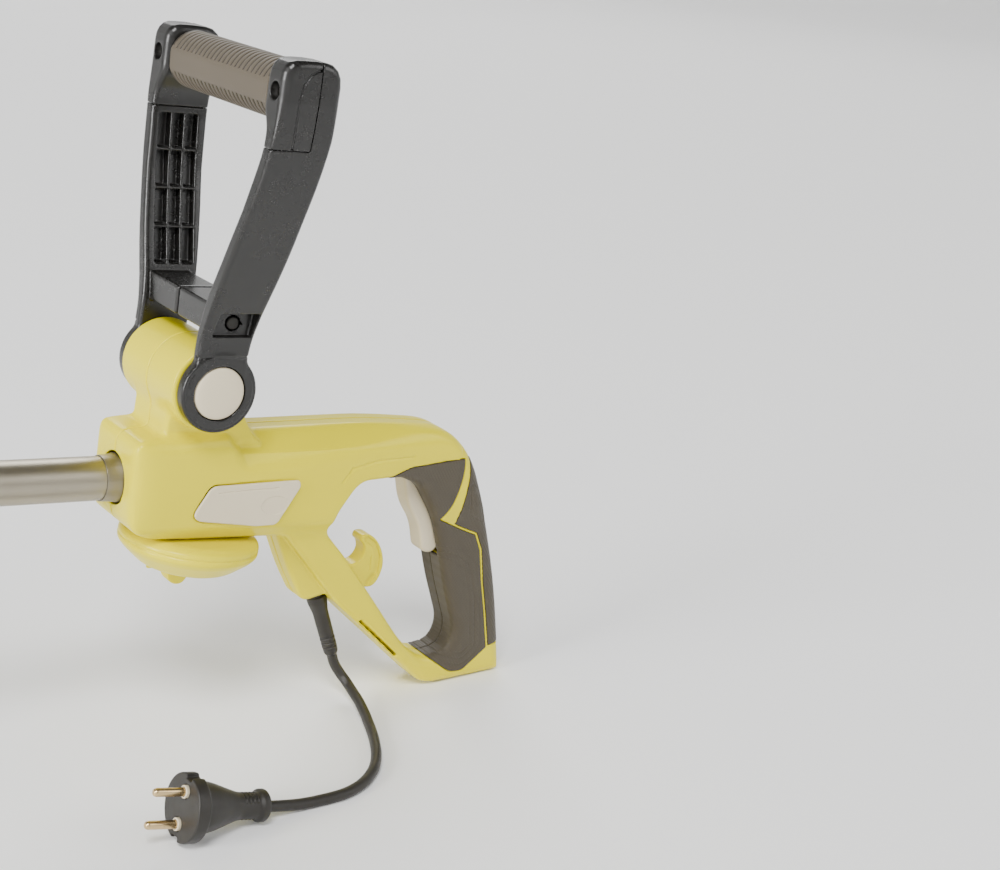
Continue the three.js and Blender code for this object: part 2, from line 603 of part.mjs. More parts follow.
// ---- spool head: housing, lid, nut, spool with line, spring and bump cap ----
const spoolRadius = 46;
let spoolHousing = turned([
  [4.3, -7], [38, -7], [spoolRadius, -14], [spoolRadius, -46], [43, -46], [43, -15.5], [37, -10.5],
  [4.3, -10.5],
], 28);
for (const [, side] of sides) {
  const eyelet = roundY(2, 0, eyeletZ, side * 38, side * 50, 12);
  spoolHousing = spoolHousing.subtract(eyelet);
}
node('spool_housing', spoolHousing, black, head);
node('spool_lid', turned([[20.5, -46.3], [45.5, -46.3], [44, -50], [20.5, -50]], 28), darkPlastic, head);
const spoolProfile = [
  [9.5, -18.5], [36, -18.5], [36, -20.5], [16, -20.5], [16, -38], [36, -38], [36, -40], [9.5, -40],
];
node('spool', turned(spoolProfile), nylon, head);
node('line_coil', turned([[16.3, -37.7], [29, -37.7], [29, -20.8], [16.3, -20.8]]), nylon, head);
const bumpProfile = [[0, -70], [17, -68], [23, -62], [23, -57], [19, -56], [19, -44], [0, -44]];
node('bump_cap', turned(bumpProfile), beige, head);
const spoolSpring = node('spool_spring', coilSpring(6.8, 0.7, 5, 26.6), steel, head);
spoolSpring.position.set(0, 0, -43.5);
for (const [name, side] of sides) {
  const line = [[0, side * 40.5, eyeletZ], [0, side * 80, eyeletZ], [0, side * lineReach, eyeletZ]];
  node(`cutting_line_${name}`, rod(line, 1.2, 2, 8), nylon, head);
}

head.position.set(headX - headLength * bendCos, 0, tubeZ - headLength * Math.sin(headBend));
head.rotation.y = headBend;
machine.add(head);
machine.rotation.y = tilt;
machine.position.set(-footMiddleX, 0, floorDrop);

const trimmer = new THREE.Group();
trimmer.add(machine, floor);
export default trimmer;
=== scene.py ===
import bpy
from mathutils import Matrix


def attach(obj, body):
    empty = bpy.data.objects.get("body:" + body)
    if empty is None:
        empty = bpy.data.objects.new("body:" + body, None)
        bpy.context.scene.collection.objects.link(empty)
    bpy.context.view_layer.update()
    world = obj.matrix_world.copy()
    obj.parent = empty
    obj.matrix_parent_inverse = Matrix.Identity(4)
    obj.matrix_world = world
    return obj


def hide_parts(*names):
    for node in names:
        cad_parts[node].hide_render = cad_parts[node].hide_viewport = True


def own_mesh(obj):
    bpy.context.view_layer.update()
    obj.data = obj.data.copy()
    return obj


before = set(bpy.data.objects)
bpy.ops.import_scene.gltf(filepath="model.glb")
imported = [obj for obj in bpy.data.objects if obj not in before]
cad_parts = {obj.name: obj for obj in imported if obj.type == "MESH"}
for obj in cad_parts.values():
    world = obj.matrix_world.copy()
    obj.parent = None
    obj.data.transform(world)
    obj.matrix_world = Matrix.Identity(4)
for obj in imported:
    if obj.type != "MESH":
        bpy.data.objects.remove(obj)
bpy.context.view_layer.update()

# An electric string trimmer, standing on the foot of its rear handle and the lip of its guard.
# Sizes in the sections are millimetres. Each group of pieces is drawn in the frame it was designed in: the
# machine frame (origin on the D-handle's tilt axis, +X to the rear along the tube), the head frame (+Z up
# the motor axis) and the plug frame (+Z out towards its pins).

import math

import bmesh
import bpy
import numpy as np
from mathutils import Matrix, Vector


# ---------------------------------------------------------------- camera, floor and lights
# A long studio lens at table height, a seamless pale floor that curves up into a wall all the way round,
# and four large soft boxes that stand well back from the machine.
camera = bpy.data.objects.new("camera", bpy.data.cameras.new("camera"))
bpy.context.scene.collection.objects.link(camera)
camera.data.lens = 66.2
camera.data.sensor_width = 36
camera.data.clip_end = 50
azimuth, elevation, roll = (math.radians(angle) for angle in (-37.28, 17.88, 5.95))
aim = Matrix.Rotation(azimuth, 4, "Z") @ Matrix.Rotation(math.pi / 2 - elevation, 4, "X")
camera.matrix_world = Matrix.Translation((-0.6616, -0.8954, 0.5256)) @ aim @ Matrix.Rotation(roll, 4, "Z")
bpy.context.scene.camera = camera


def soft_box(name, place, target, size, power):
    light = bpy.data.objects.new(name, bpy.data.lights.new(name, "AREA"))
    light.data.shape = "RECTANGLE"
    light.data.size, light.data.size_y = size
    light.data.energy = power
    light.location = place
    light.rotation_euler = (Vector(target) - Vector(place)).to_track_quat("-Z", "Y").to_euler()
    bpy.context.scene.collection.objects.link(light)


centre = (-0.3, 0, 0.2)
soft_box("key_light", (-3.0, -3.2, 5.6), centre, (2.2, 2.2), 400)
soft_box("fill_light", (4.2, -3.8, 3.2), centre, (3.6, 3.0), 90)
soft_box("rim_light", (2.4, 5.0, 4.6), centre, (4.4, 2.4), 260)
soft_box("front_light", (-5.6, -0.6, 1.7), centre, (2.0, 2.4), 330)

world = bpy.data.worlds.new("studio")
world.use_nodes = True
world.node_tree.nodes["Background"].inputs["Color"].default_value = (1, 1, 1, 1)
world.node_tree.nodes["Background"].inputs["Strength"].default_value = 0.16
bpy.context.scene.world = world


class Signal:
    """A number flowing through a finish; arithmetic on it adds Math nodes."""

    def __init__(self, finish, socket):
        self.finish = finish
        self.socket = socket

    def combine(self, operation, first, second):
        sockets = {0: first, 1: second}
        return self.finish.node("ShaderNodeMath", {"operation": operation}, sockets, "Value")

    def __add__(self, other):
        return self.combine("ADD", self, other)

    def __radd__(self, other):
        return self.combine("ADD", other, self)

    def __sub__(self, other):
        return self.combine("SUBTRACT", self, other)

    def __rsub__(self, other):
        return self.combine("SUBTRACT", other, self)

    def __mul__(self, other):
        return self.combine("MULTIPLY", self, other)

    def __rmul__(self, other):
        return self.combine("MULTIPLY", other, self)


class Finish:
    """A material with one Principled shader; constants go straight on its sockets."""

    def __init__(self, name, **constants):
        self.material = bpy.data.materials.new(name)
        self.material.use_nodes = True
        self.tree = self.material.node_tree
        self.shader = self.tree.nodes["Principled BSDF"]
        for socket, value in constants.items():
            self.shader.inputs[socket.replace("_", " ")].default_value = value

    def node(self, kind, settings, sockets, output):
        made = self.tree.nodes.new(kind)
        stops = settings.pop("stops", None)
        if stops:
            while len(made.color_ramp.elements) < len(stops):
                made.color_ramp.elements.new(0.5)
            for element, (place, shade) in zip(made.color_ramp.elements, stops):
                element.position = place
                element.color = (shade, shade, shade, 1)
        for key, value in settings.items():
            setattr(made, key, value)
        for key, value in sockets.items():
            self.feed(made.inputs[key], value)
        return Signal(self, made.outputs[output])

    def feed(self, socket, value):
        if isinstance(value, Signal):
            self.tree.links.new(value.socket, socket)
        else:
            socket.default_value = value

    def place(self, stretch=(1, 1, 1)):
        here = self.node("ShaderNodeTexCoord", {}, {}, "Object")
        return self.node("ShaderNodeMapping", {}, {"Vector": here, "Scale": stretch}, "Vector")

    def noise(self, scale, detail=2, roughness=0.5, stretch=(1, 1, 1)):
        sockets = {"Vector": self.place(stretch), "Scale": scale, "Detail": detail, "Roughness": roughness}
        return self.node("ShaderNodeTexNoise", {}, sockets, "Fac")

    def ramp(self, value, *stops):
        return self.node("ShaderNodeValToRGB", {"stops": stops}, {"Fac": value}, "Color")

    def mix(self, factor, first, second):
        sockets = {0: factor, 6: first, 7: second}
        return self.node("ShaderNodeMix", {"data_type": "RGBA"}, sockets, 2)

    def colour(self, value):
        self.feed(self.shader.inputs["Base Color"], value)

    def roughness(self, value):
        self.feed(self.shader.inputs["Roughness"], value)

    def bump(self, *layers):
        """Each layer is (height, depth in metres); they add up in one chain that feeds Normal."""
        normal = None
        for height, depth in layers:
            sockets = {"Height": height, "Distance": depth, "Strength": 1.0}
            if normal:
                sockets["Normal"] = normal
            normal = self.node("ShaderNodeBump", {}, sockets, "Normal")
        self.feed(self.shader.inputs["Normal"], normal)


def tinted(colour, factor):
    return (*(min(1, part * factor) for part in colour), 1)


def add_mesh(name, vertices, faces, finish, smooth=True):
    mesh = bpy.data.meshes.new(name)
    mesh.from_pydata(vertices, [], faces)
    mesh.update()
    if smooth:
        mesh.shade_smooth()
    piece = bpy.data.objects.new(name, mesh)
    bpy.context.scene.collection.objects.link(piece)
    piece.data.materials.append(finish.material)
    return piece


def studio_floor():
    """A round floor that runs up into a wall all the way round, so that no horizon shows."""
    profile = [(0.0, 0.0), (1.0, 0.0), (3.0, 0.0), (6.0, 0.0)]
    for i in range(1, 17):
        angle = i / 16 * math.pi / 2
        profile.append((6 + 4 * math.sin(angle), 4 * (1 - math.cos(angle))))
    profile.append((10.0, 7.0))
    sides = 96
    vertices = [(0, 0, 0)]
    faces = []
    for r, up in profile[1:]:
        vertices += [
            (r * math.cos(2 * math.pi * i / sides), r * math.sin(2 * math.pi * i / sides), up)
            for i in range(sides)
        ]
    for i in range(sides):
        faces.append((0, 1 + i, 1 + (i + 1) % sides))
        for ring in range(len(profile) - 2):
            low, high = 1 + ring * sides, 1 + (ring + 1) * sides
            faces.append((low + i, high + i, high + (i + 1) % sides, low + (i + 1) % sides))
    paper = Finish("floor_paper", Roughness=0.9, Specular_IOR_Level=0.2)
    paper.colour(paper.mix(paper.noise(3.0), (0.955, 0.955, 0.95, 1), (0.965, 0.965, 0.96, 1)))
    return add_mesh("studio_floor", vertices, faces, paper)


floor = studio_floor()


# ---------------------------------------------------------------- mains lead
# A short round two-core lead with a rubber sheath. It leaves the strain relief under the hand loop, drops
# to the floor and comes round to its plug. The route repeats the centreline that the frame was made with.
LEAD_THICKNESS = 0.0065
LEAD_ROUTE = [
    (-94.7, 0, 30), (-92.2, 0, 22.8), (-88.6, -1.6, 16.2), (-86.2, -6.5, 11.4), (-86, -14, 8.3),
    (-86.8, -23, 6), (-89.4, -34, 4.3), (-93.7, -46.5, 3.5), (-99.2, -60.5, 3.3), (-105, -73, 3.3),
    (-111.4, -84.5, 3.3), (-118.8, -94.8, 3.3), (-127.4, -103.4, 3.3), (-136.4, -109.8, 3.3),
    (-144.6, -113.6, 3.3), (-152, -115.6, 3.3), (-160.4, -116.3, 3.3), (-168, -116.2, 3.3),
    (-175, -116.1, 3.5), (-182, -116.2, 4.2), (-189, -116.5, 5.4), (-196.5, -116.9, 7), (-204, -117, 8.6),
]


def rubber_sheath():
    finish = Finish("lead_rubber", Roughness=0.5, Specular_IOR_Level=0.45)
    grey = (0.017, 0.0148, 0.012)
    patches = finish.noise(60, 3)
    finish.colour(finish.mix(patches, tinted(grey, 0.85), tinted(grey, 1.3)))
    finish.roughness(0.36 + finish.noise(140, 3) * 0.22)
    finish.bump((finish.noise(2600, 2), 0.00004), (finish.noise(90, 2), 0.00012))
    return finish


sheath_rubber = rubber_sheath()
lead_curve = bpy.data.curves.new("lead", "CURVE")
lead_curve.dimensions = "3D"
lead_curve.bevel_depth = LEAD_THICKNESS / 2
lead_curve.bevel_resolution = 8
lead_curve.resolution_u = 8
lead_curve.use_fill_caps = True
spline = lead_curve.splines.new("BEZIER")
spline.bezier_points.add(len(LEAD_ROUTE) - 1)
for knot, point in zip(spline.bezier_points, LEAD_ROUTE):
    knot.co = Vector(point) / 1000
    knot.handle_left_type = knot.handle_right_type = "AUTO"
lead = bpy.data.objects.new("mains_lead", lead_curve)
bpy.context.scene.collection.objects.link(lead)
lead.data.materials.append(sheath_rubber.material)
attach(lead, "housing")
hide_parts("cord")


# ---------------------------------------------------------------- rear housing
# Two half shells, injection moulded in glossy yellow ABS and joined on the middle plane by four screws.
# Each is a sampled distance field: the side, plan and front outlines meet in rounded edges.
MACHINE = Matrix.Translation((-0.205, 0, 0.22374)) @ Matrix.Rotation(math.radians(4), 4, "Y")


def rounded(corners, steps=6):
    """Points of a closed outline. A corner's third number is how far back from it its curve starts."""
    points = []
    for i, corner in enumerate(corners):
        here = np.array(corner[:2], float)
        if len(corner) < 3:
            points.append(here)
            continue
        ends = []
        for other in (corners[i - 1], corners[(i + 1) % len(corners)]):
            way = np.array(other[:2], float) - here
            reach = np.hypot(*way)
            ends.append(here + way * min(corner[2], reach / 2) / reach)
        for t in np.linspace(0, 1, steps):
            points.append((1 - t) ** 2 * ends[0] + 2 * t * (1 - t) * here + t * t * ends[1])
    return np.array(points)


def outline_distance(points, a, b, closed=True):
    """Distance of every (a, b) pair to a line of points; negative inside it when it is closed."""
    a, b = a[:, None], b[None, :]
    nearest = np.full(np.broadcast_shapes(a.shape, b.shape), 1e9)
    inside = np.zeros(nearest.shape, bool)
    ends = np.roll(points, -1, 0) if closed else points[1:]
    for (a0, b0), (a1, b1) in zip(points, ends):
        da, db = a1 - a0, b1 - b0
        if da == db == 0:
            continue
        share = np.clip(((a - a0) * da + (b - b0) * db) / (da * da + db * db), 0, 1)
        nearest = np.minimum(nearest, (a - a0 - share * da) ** 2 + (b - b0 - share * db) ** 2)
        if closed and db != 0:
            inside ^= ((b0 > b) != (b1 > b)) & (a < a0 + (b - b0) * da / db)
    return np.where(inside, -1, 1) * np.sqrt(nearest)


class Space:
    """A grid of sample points in millimetres; shapes drawn on it are distance fields, negative inside."""

    def __init__(self, low, high, step):
        self.low, self.step = np.array(low, float), step
        self.axes = [np.arange(a, b + step, step) for a, b in zip(low, high)]
        self.x = self.axes[0][:, None, None]
        self.y = self.axes[1][None, :, None]
        self.z = self.axes[2][None, None, :]

    def along_y(self, corners):
        return outline_distance(rounded(corners), self.axes[0], self.axes[2])[:, None, :]

    def along_x(self, corners):
        return outline_distance(rounded(corners), self.axes[1], self.axes[2])[None, :, :]

    def along_z(self, corners):
        return outline_distance(rounded(corners), self.axes[0], self.axes[1])[:, :, None]

    def line_y(self, points):
        """Distance to an open line drawn on the side view."""
        return outline_distance(np.array(points, float), self.axes[0], self.axes[2], closed=False)[:, None, :]

    def turned(self, corners, radius, height):
        """A turned shape from its (radius, height) outline."""
        table_r = np.arange(0, radius.max() + 1, 0.5)
        table_h = np.arange(height.min() - 1, height.max() + 1, 0.5)
        table = outline_distance(rounded(corners), table_r, table_h)
        r, h = np.broadcast_arrays(radius / 0.5, (height - table_h[0]) / 0.5)
        i = np.minimum(r.astype(int), len(table_r) - 2)
        j = np.minimum(h.astype(int), len(table_h) - 2)
        u, v = r - i, h - j
        low = table[i, j] * (1 - u) + table[i + 1, j] * u
        high = table[i, j + 1] * (1 - u) + table[i + 1, j + 1] * u
        return low * (1 - v) + high * v


def both(radius, *fields):
    """What all the shapes share, with edges of that radius."""
    deepest = fields[0]
    over = 0
    for field in fields:
        deepest = np.maximum(deepest, field)
        over = over + np.maximum(field + radius, 0) ** 2
    return np.minimum(-radius, deepest) + np.sqrt(over)


def either(blend, first, second):
    """Either shape, with a hollow fillet where they meet."""
    overlap = np.maximum(blend - np.abs(first - second), 0) / blend
    return np.minimum(first, second) - overlap ** 2 * blend / 4


def engraved(body, line, width, depth):
    """The body with a groove along a line on its surface."""
    cut = np.maximum(line - width / 2, -(body + depth))
    return np.maximum(body, -cut)


def skin(field):
    """Vertices and quads where a sampled field passes through zero, by surface nets."""
    cells = tuple(n - 1 for n in field.shape)
    total = np.zeros((*cells, 3), np.float32)
    count = np.zeros(cells, np.float32)
    crossings = []
    for axis in range(3):
        a = np.delete(field, -1, axis)
        b = np.delete(field, 0, axis)
        crossing = (a < 0) != (b < 0)
        crossings.append((crossing, a < 0))
        share = np.where(crossing, a / np.where(crossing, a - b, 1), 0)
        u, v = [other for other in range(3) if other != axis]
        for du in (0, 1):
            for dv in (0, 1):
                pick = [slice(None)] * 3
                pick[u] = slice(du, cells[u] + du)
                pick[v] = slice(dv, cells[v] + dv)
                hit = crossing[tuple(pick)]
                count += hit
                total[..., axis] += share[tuple(pick)]
                total[..., u] += du * hit
                total[..., v] += dv * hit
    used = count > 0
    number = np.cumsum(used.ravel()).reshape(cells) - 1
    vertices = np.argwhere(used) + total[used] / count[used][:, None]
    quads = []
    for axis, (crossing, rising) in enumerate(crossings):
        u, v = [other for other in range(3) if other != axis]
        edges = np.argwhere(crossing)
        edges = edges[
            (edges[:, u] > 0) & (edges[:, u] < cells[u]) & (edges[:, v] > 0) & (edges[:, v] < cells[v])
        ]
        ring = []
        for du, dv in ((1, 1), (0, 1), (0, 0), (1, 0)):
            cell = edges.copy()
            cell[:, u] -= du
            cell[:, v] -= dv
            ring.append(number[tuple(cell.T)])
        ring = np.stack(ring, 1)
        outward = rising[tuple(edges.T)] != (axis == 1)
        quads.append(np.where(outward[:, None], ring, ring[:, ::-1]))
    return vertices, np.concatenate(quads)


def carve(name, space, field, finish, place=MACHINE, mirror=1):
    """A piece from a distance field. mirror -1 flips it to the other side of the machine."""
    vertices, quads = skin(np.broadcast_to(field, [len(axis) for axis in space.axes]))
    vertices = (vertices * space.step + space.low) / 1000
    if mirror < 0:
        vertices[:, 1] *= -1
        quads = quads[:, ::-1]
    mesh = bpy.data.meshes.new(name)
    mesh.vertices.add(len(vertices))
    mesh.vertices.foreach_set("co", vertices.astype(np.float32).ravel())
    mesh.loops.add(quads.size)
    mesh.loops.foreach_set("vertex_index", quads.astype(np.int32).ravel())
    mesh.polygons.add(len(quads))
    mesh.polygons.foreach_set("loop_start", np.arange(0, quads.size, 4, dtype=np.int32))
    mesh.update(calc_edges=True)
    mesh.shade_smooth()
    piece = bpy.data.objects.new(name, mesh)
    bpy.context.scene.collection.objects.link(piece)
    piece.data.materials.append(finish.material)
    piece.matrix_world = place
    return piece


def hand_in(piece, body, slot, *nodes):
    """The piece moves with a body and stands for these parts of the frame."""
    piece.name = f"{nodes[0]}_visual"
    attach(piece, body)
    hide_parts(*nodes)


def glossy_yellow():
    finish = Finish("yellow_abs", Specular_IOR_Level=0.3, Coat_Weight=0.05, Coat_Roughness=0.1)
    yellow = (0.78, 0.67, 0.0)
    finish.colour(finish.mix(finish.noise(9, 3), tinted(yellow, 0.97), tinted(yellow, 1.03)))
    scuffs = finish.ramp(finish.noise(34, 5, 0.7), (0.52, 0), (0.74, 1))
    finish.roughness(0.27 + scuffs * 0.11 + finish.noise(420, 2) * 0.05)
    finish.bump((finish.noise(1500, 2), 0.000012), (finish.noise(28, 2), 0.00025))
    return finish


yellow_abs = glossy_yellow()
SIDES = (("left", -1), ("right", 1))
TUBE_HEIGHT = -60
TUBE_BORE = 12.9
HALF_GAP = 0.15
PIVOT_RADIUS, PIVOT_HALF_WIDTH, PIVOT_BORE = 24.3, 32.8, 9
HOUSING_SIDE = [
    (-22, -91, 4), (-37, -84, 8), (-39.5, -60), (-39.5, -32.5, 9), (-24, -30.5, 4), (40, -30.5),
    (125, -29, 20), (172, -33, 12), (192, -46, 12), (203, -62, 6), (216, -90, 20), (235, -142, 30),
    (251, -206.7, 4), (190, -211, 8), (112, -145, 3), (68, -96, 5), (0, -93),
]
CORD_BOSS = [
    (64, -90), (66, -97, 4), (78, -123, 12), (91, -144, 5), (108, -140, 3), (114, -146), (130, -120),
    (100, -85),
]
HAND_HOLE = [
    (112, -63, 8), (144, -63, 4), (160, -70, 6), (178, -95, 12), (187, -120, 4), (193, -139, 12),
    (208, -174, 8), (204, -188, 8), (184, -191, 8), (166, -177, 10), (136, -141, 6), (112, -113),
    (96, -96, 6), (97, -84, 8),
]
HOUSING_PLAN = [
    (-39.5, -25, 6), (-27, -30, 10), (20, -29), (90, -26, 20), (180, -18, 20), (252, -15.5),
    (252, 15.5), (180, 18, 20), (90, 26, 20), (20, 29), (-27, 30, 10), (-39.5, 25, 6),
]
HOUSING_FRONT = [
    (-9, -29), (-24, -41.5), (-29, -51.5), (-30, -60), (-28, -84, 4), (-17.5, -96, 6), (-16, -212),
    (16, -212), (17.5, -96, 6), (28, -84, 4), (30, -60), (29, -51.5), (24, -41.5), (9, -29),
]
HOUSING_NOSE = [
    (-23, -28), (-28, -37, 3), (-30, -60, 10), (-28, -84, 4), (-17.5, -96, 6), (-16, -212),
    (16, -212), (17.5, -96, 6), (28, -84, 4), (30, -60, 10), (28, -37, 3), (23, -28),
]
PIVOT_NECK = [(-19, 0), (-20.5, -36, 3), (40, -36), (32, -25, 6), (23, -8)]
COVER = [
    (131, -64, 3), (148, -57, 4), (194, -54), (270, -54), (270, -181), (236, -187, 2), (217, -203, 4),
    (207, -202, 3), (184, -187, 2), (178, -176), (150, -110), (128, -72),
]
COVER_CRESCENT = [
    (196, -50), (198, -72, 10), (193, -99, 2), (180, -94, 2), (188, -82, 8), (192, -66, 10), (191, -50),
]
COVER_LINE = [(181, -94), (199, -102), (211, -106.5), (217, -118), (222, -139), (229, -163), (236, -190)]
TRIGGER_SLOT = [(136, -62), (158, -58), (178, -70), (206, -100), (205, -121), (184, -122), (150, -72)]
SCREWS = ((-22, -84), (100, -43), (145, -162), (228, -197))


def housing_mass(space):
    """The closed housing with its pivot boss, before anything is let into it."""
    grip = np.clip((space.x - 120) / 70, 0, 1)
    rearwards = np.clip((space.x - 17 + (space.z + 31) * 0.4) / 9, 0, 1)
    rearwards = rearwards * rearwards * (3 - 2 * rearwards)
    front = space.along_x(HOUSING_NOSE) * (1 - rearwards) + space.along_x(HOUSING_FRONT) * rearwards
    plan = space.along_z(HOUSING_PLAN)
    body = both(2.6 + 5.4 * grip, space.along_y(HOUSING_SIDE), plan, front)
    cord_boss = both(3, space.along_y(CORD_BOSS), np.abs(space.y) - 10.5)
    return both(3 + 4.5 * grip, either(2, body, cord_boss), -space.along_y(HAND_HOLE))


def pivot_mass(space):
    boss = both(1.5, np.hypot(space.x, space.z) - PIVOT_RADIUS, np.abs(space.y) - PIVOT_HALF_WIDTH)
    neck = both(2.5, space.along_y(PIVOT_NECK), np.abs(space.y) - 21)
    return either(3, boss, neck)


def cover_zone(space):
    crescent = space.along_y(COVER_CRESCENT)
    line = space.line_y(COVER_LINE) - 0.9
    return np.maximum(np.maximum(space.along_y(COVER), -crescent), -line)


def badge_outline(inset):
    corners = [
        (-1, -75, 4), (9, -58, 4), (66, -57, 2), (67.5, -61, 2), (54, -84.5, 3), (40, -84.5), (2, -79, 3),
    ]
    middle = np.array([32, -71])
    return [
        ((x - middle[0]) * (1 - inset / 34) + middle[0], (z - middle[1]) * (1 - inset / 13) + middle[1], *cut)
        for x, z, *cut in corners
    ]


def housing_shell(name, side):
    space = Space((-47, -0.8, -215), (255, 35.5, 27), 0.8)
    body = either(5, housing_mass(space), pivot_mass(space))
    hollow = housing_mass(space) + 2.8 + 2.8 * np.clip((space.x - 100) / 30, 0, 1)
    shell = np.maximum(body, -hollow)
    for x, z in SCREWS:
        pillar = np.maximum(np.hypot(space.x - x, space.z - z) - 6.2, housing_mass(space) + 1)
        shell = np.minimum(shell, pillar)
    pockets = np.maximum(np.hypot(space.x, space.z) - 16.6, 17.6 - space.y)
    shell = np.maximum(shell, -np.minimum(pockets, np.hypot(space.x, space.z) - PIVOT_BORE))
    tube = np.hypot(space.y, space.z - TUBE_HEIGHT)
    shell = both(1.2, shell, -np.maximum(tube - TUBE_BORE, space.x - 44))
    shell = np.maximum(shell, -np.maximum(tube - 15.2, space.x + 30))
    shell = engraved(shell, np.abs(tube - 19), 0.8, 0.4)
    shell = np.maximum(shell, -np.maximum(space.along_y(TRIGGER_SLOT), space.y - 8.2))
    cover = np.maximum(cover_zone(space) - 0.25, -(housing_mass(space) + 2.5))
    shell = np.maximum(shell, -cover)
    seat = np.maximum(space.along_y(badge_outline(-0.3)), 27.1 - space.y)
    shell = np.maximum(shell, -seat)
    lean = math.atan2(0.39, 0.92)
    down = (space.x - 101.5) * math.sin(lean) - (space.z + 133.5) * math.cos(lean)
    across = (space.x - 101.5) * math.cos(lean) + (space.z + 133.5) * math.sin(lean)
    bore = np.maximum(np.hypot(across, space.y) - 6.6, -down)
    shell = np.maximum(shell, -bore)
    shell = engraved(shell, space.line_y([(98, -62), (104, -54), (122, -50.5), (150, -50)]), 1.1, 0.9)
    shell = engraved(shell, space.line_y([(131, -158), (148, -172.5), (163, -185.5)]), 1.7, 2.4)
    if side > 0:
        for x, z in SCREWS:
            shaft = np.hypot(space.x - x, space.z - z)
            shell = np.maximum(shell, -np.maximum(shaft - 4.4, 9 - space.y))
            shell = np.maximum(shell, -(shaft - 2.1))
    shell = both(0.7, shell, HALF_GAP - space.y)
    piece = carve(name, space, shell, yellow_abs, mirror=side)
    hand_in(piece, "housing", "yellow_shell", name)


for side_name, side in SIDES:
    housing_shell(f"housing_{side_name}_shell", side)


# ---------------------------------------------------------------- grip covers
# Soft taupe elastomer moulded over the rear grip in two halves, 0.3 mm proud of the shell. Grooves draw a
# long palm panel with fine slanting ribs, and a small panel behind the yellow crescent.
PALM_PANEL = [
    (178, -117, 3), (192, -118), (199, -120), (208, -126, 3), (212, -134), (218, -152), (223, -177, 3),
    (224, -186, 3), (215, -194, 3), (201, -191, 3), (188, -183),
]
REAR_PANEL = [(199, -70, 3), (202, -92, 3), (216, -99, 3), (208, -78, 3)]


def soft_taupe():
    finish = Finish("taupe_elastomer", Specular_IOR_Level=0.32, Sheen_Weight=0.08, Sheen_Roughness=0.5)
    taupe = (0.062, 0.051, 0.034)
    wear = finish.noise(22, 4, 0.6)
    finish.colour(finish.mix(wear, tinted(taupe, 0.88), tinted(taupe, 1.14)))
    finish.roughness(0.46 + wear * 0.14 + finish.noise(600, 2) * 0.08)
    here = finish.place((1, 1, 1))
    sockets = {"Vector": here, "Rotation": (0, math.radians(35), 0)}
    slant = finish.node("ShaderNodeMapping", {}, sockets, "Vector")
    settings = {"wave_type": "BANDS", "bands_direction": "X"}
    sockets = {"Vector": slant, "Scale": 170.0, "Distortion": 0.0}
    ribs = finish.node("ShaderNodeTexWave", settings, sockets, "Fac")
    finish.bump((ribs, 0.00010), (finish.noise(1900, 2), 0.00005))
    return finish


taupe_elastomer = soft_taupe()


def grip_cover(name, side):
    space = Space((125, -0.6, -208), (256, 24, -50), 0.55)
    mass = housing_mass(space)
    cover = both(0.5, mass - 0.3, cover_zone(space))
    palm = rounded(PALM_PANEL)
    palm_line = outline_distance(palm, space.axes[0], space.axes[2], closed=False)[:, None, :]
    cover = engraved(cover, palm_line, 0.9, 0.55)
    cover = engraved(cover, np.abs(palm_line - 4), 0.7, 0.35)
    cover = engraved(cover, np.abs(space.along_y(REAR_PANEL)), 0.8, 0.5)
    cover = np.maximum(cover, -(mass + 2.2))
    cover = np.maximum(cover, -np.maximum(space.along_y(TRIGGER_SLOT), space.y - 8.6))
    cover = both(0.4, cover, HALF_GAP - space.y)
    hand_in(carve(name, space, cover, taupe_elastomer, mirror=side), "housing", "grip_overmould", name)


for side_name, side in SIDES:
    grip_cover(f"grip_cover_{side_name}", side)


# ---------------------------------------------------------------- badges
# Blank name plates in cream plastic, pressed into a recess on each side of the housing, with a bevelled
# rim, a scored line near the top and a shallow dish at the rear end.
def cream():
    finish = Finish("cream_plastic", Specular_IOR_Level=0.42, Coat_Weight=0.1, Coat_Roughness=0.2)
    ivory = (0.70, 0.61, 0.43)
    finish.colour(finish.mix(finish.noise(16, 3), tinted(ivory, 0.96), tinted(ivory, 1.04)))
    handled = finish.ramp(finish.noise(40, 5, 0.65), (0.5, 0), (0.75, 1))
    finish.roughness(0.34 + handled * 0.13 + finish.noise(500, 2) * 0.05)
    finish.bump((finish.noise(1700, 2), 0.00002), (finish.noise(35, 2), 0.0002))
    return finish


cream_plastic = cream()


def badge(name, side):
    space = Space((-3, 26.6, -87), (70, 31, -55), 0.3)
    plate = both(0.9, space.along_y(badge_outline(0.3)), 27.35 - space.y, space.y - 29.3)
    plate = engraved(plate, space.line_y([(14, -62.5), (34, -61.8), (52, -61.5)]), 0.7, 0.4)
    dish = np.hypot((space.x - 51) / 1.6, space.z + 72) - 5.5
    plate = both(0.3, plate, -np.maximum(dish, 28.9 - space.y))
    hand_in(carve(name, space, plate, cream_plastic, mirror=side), "housing", "cream_plastic", name)


for side_name, side in SIDES:
    badge(f"badge_{side_name}", side)


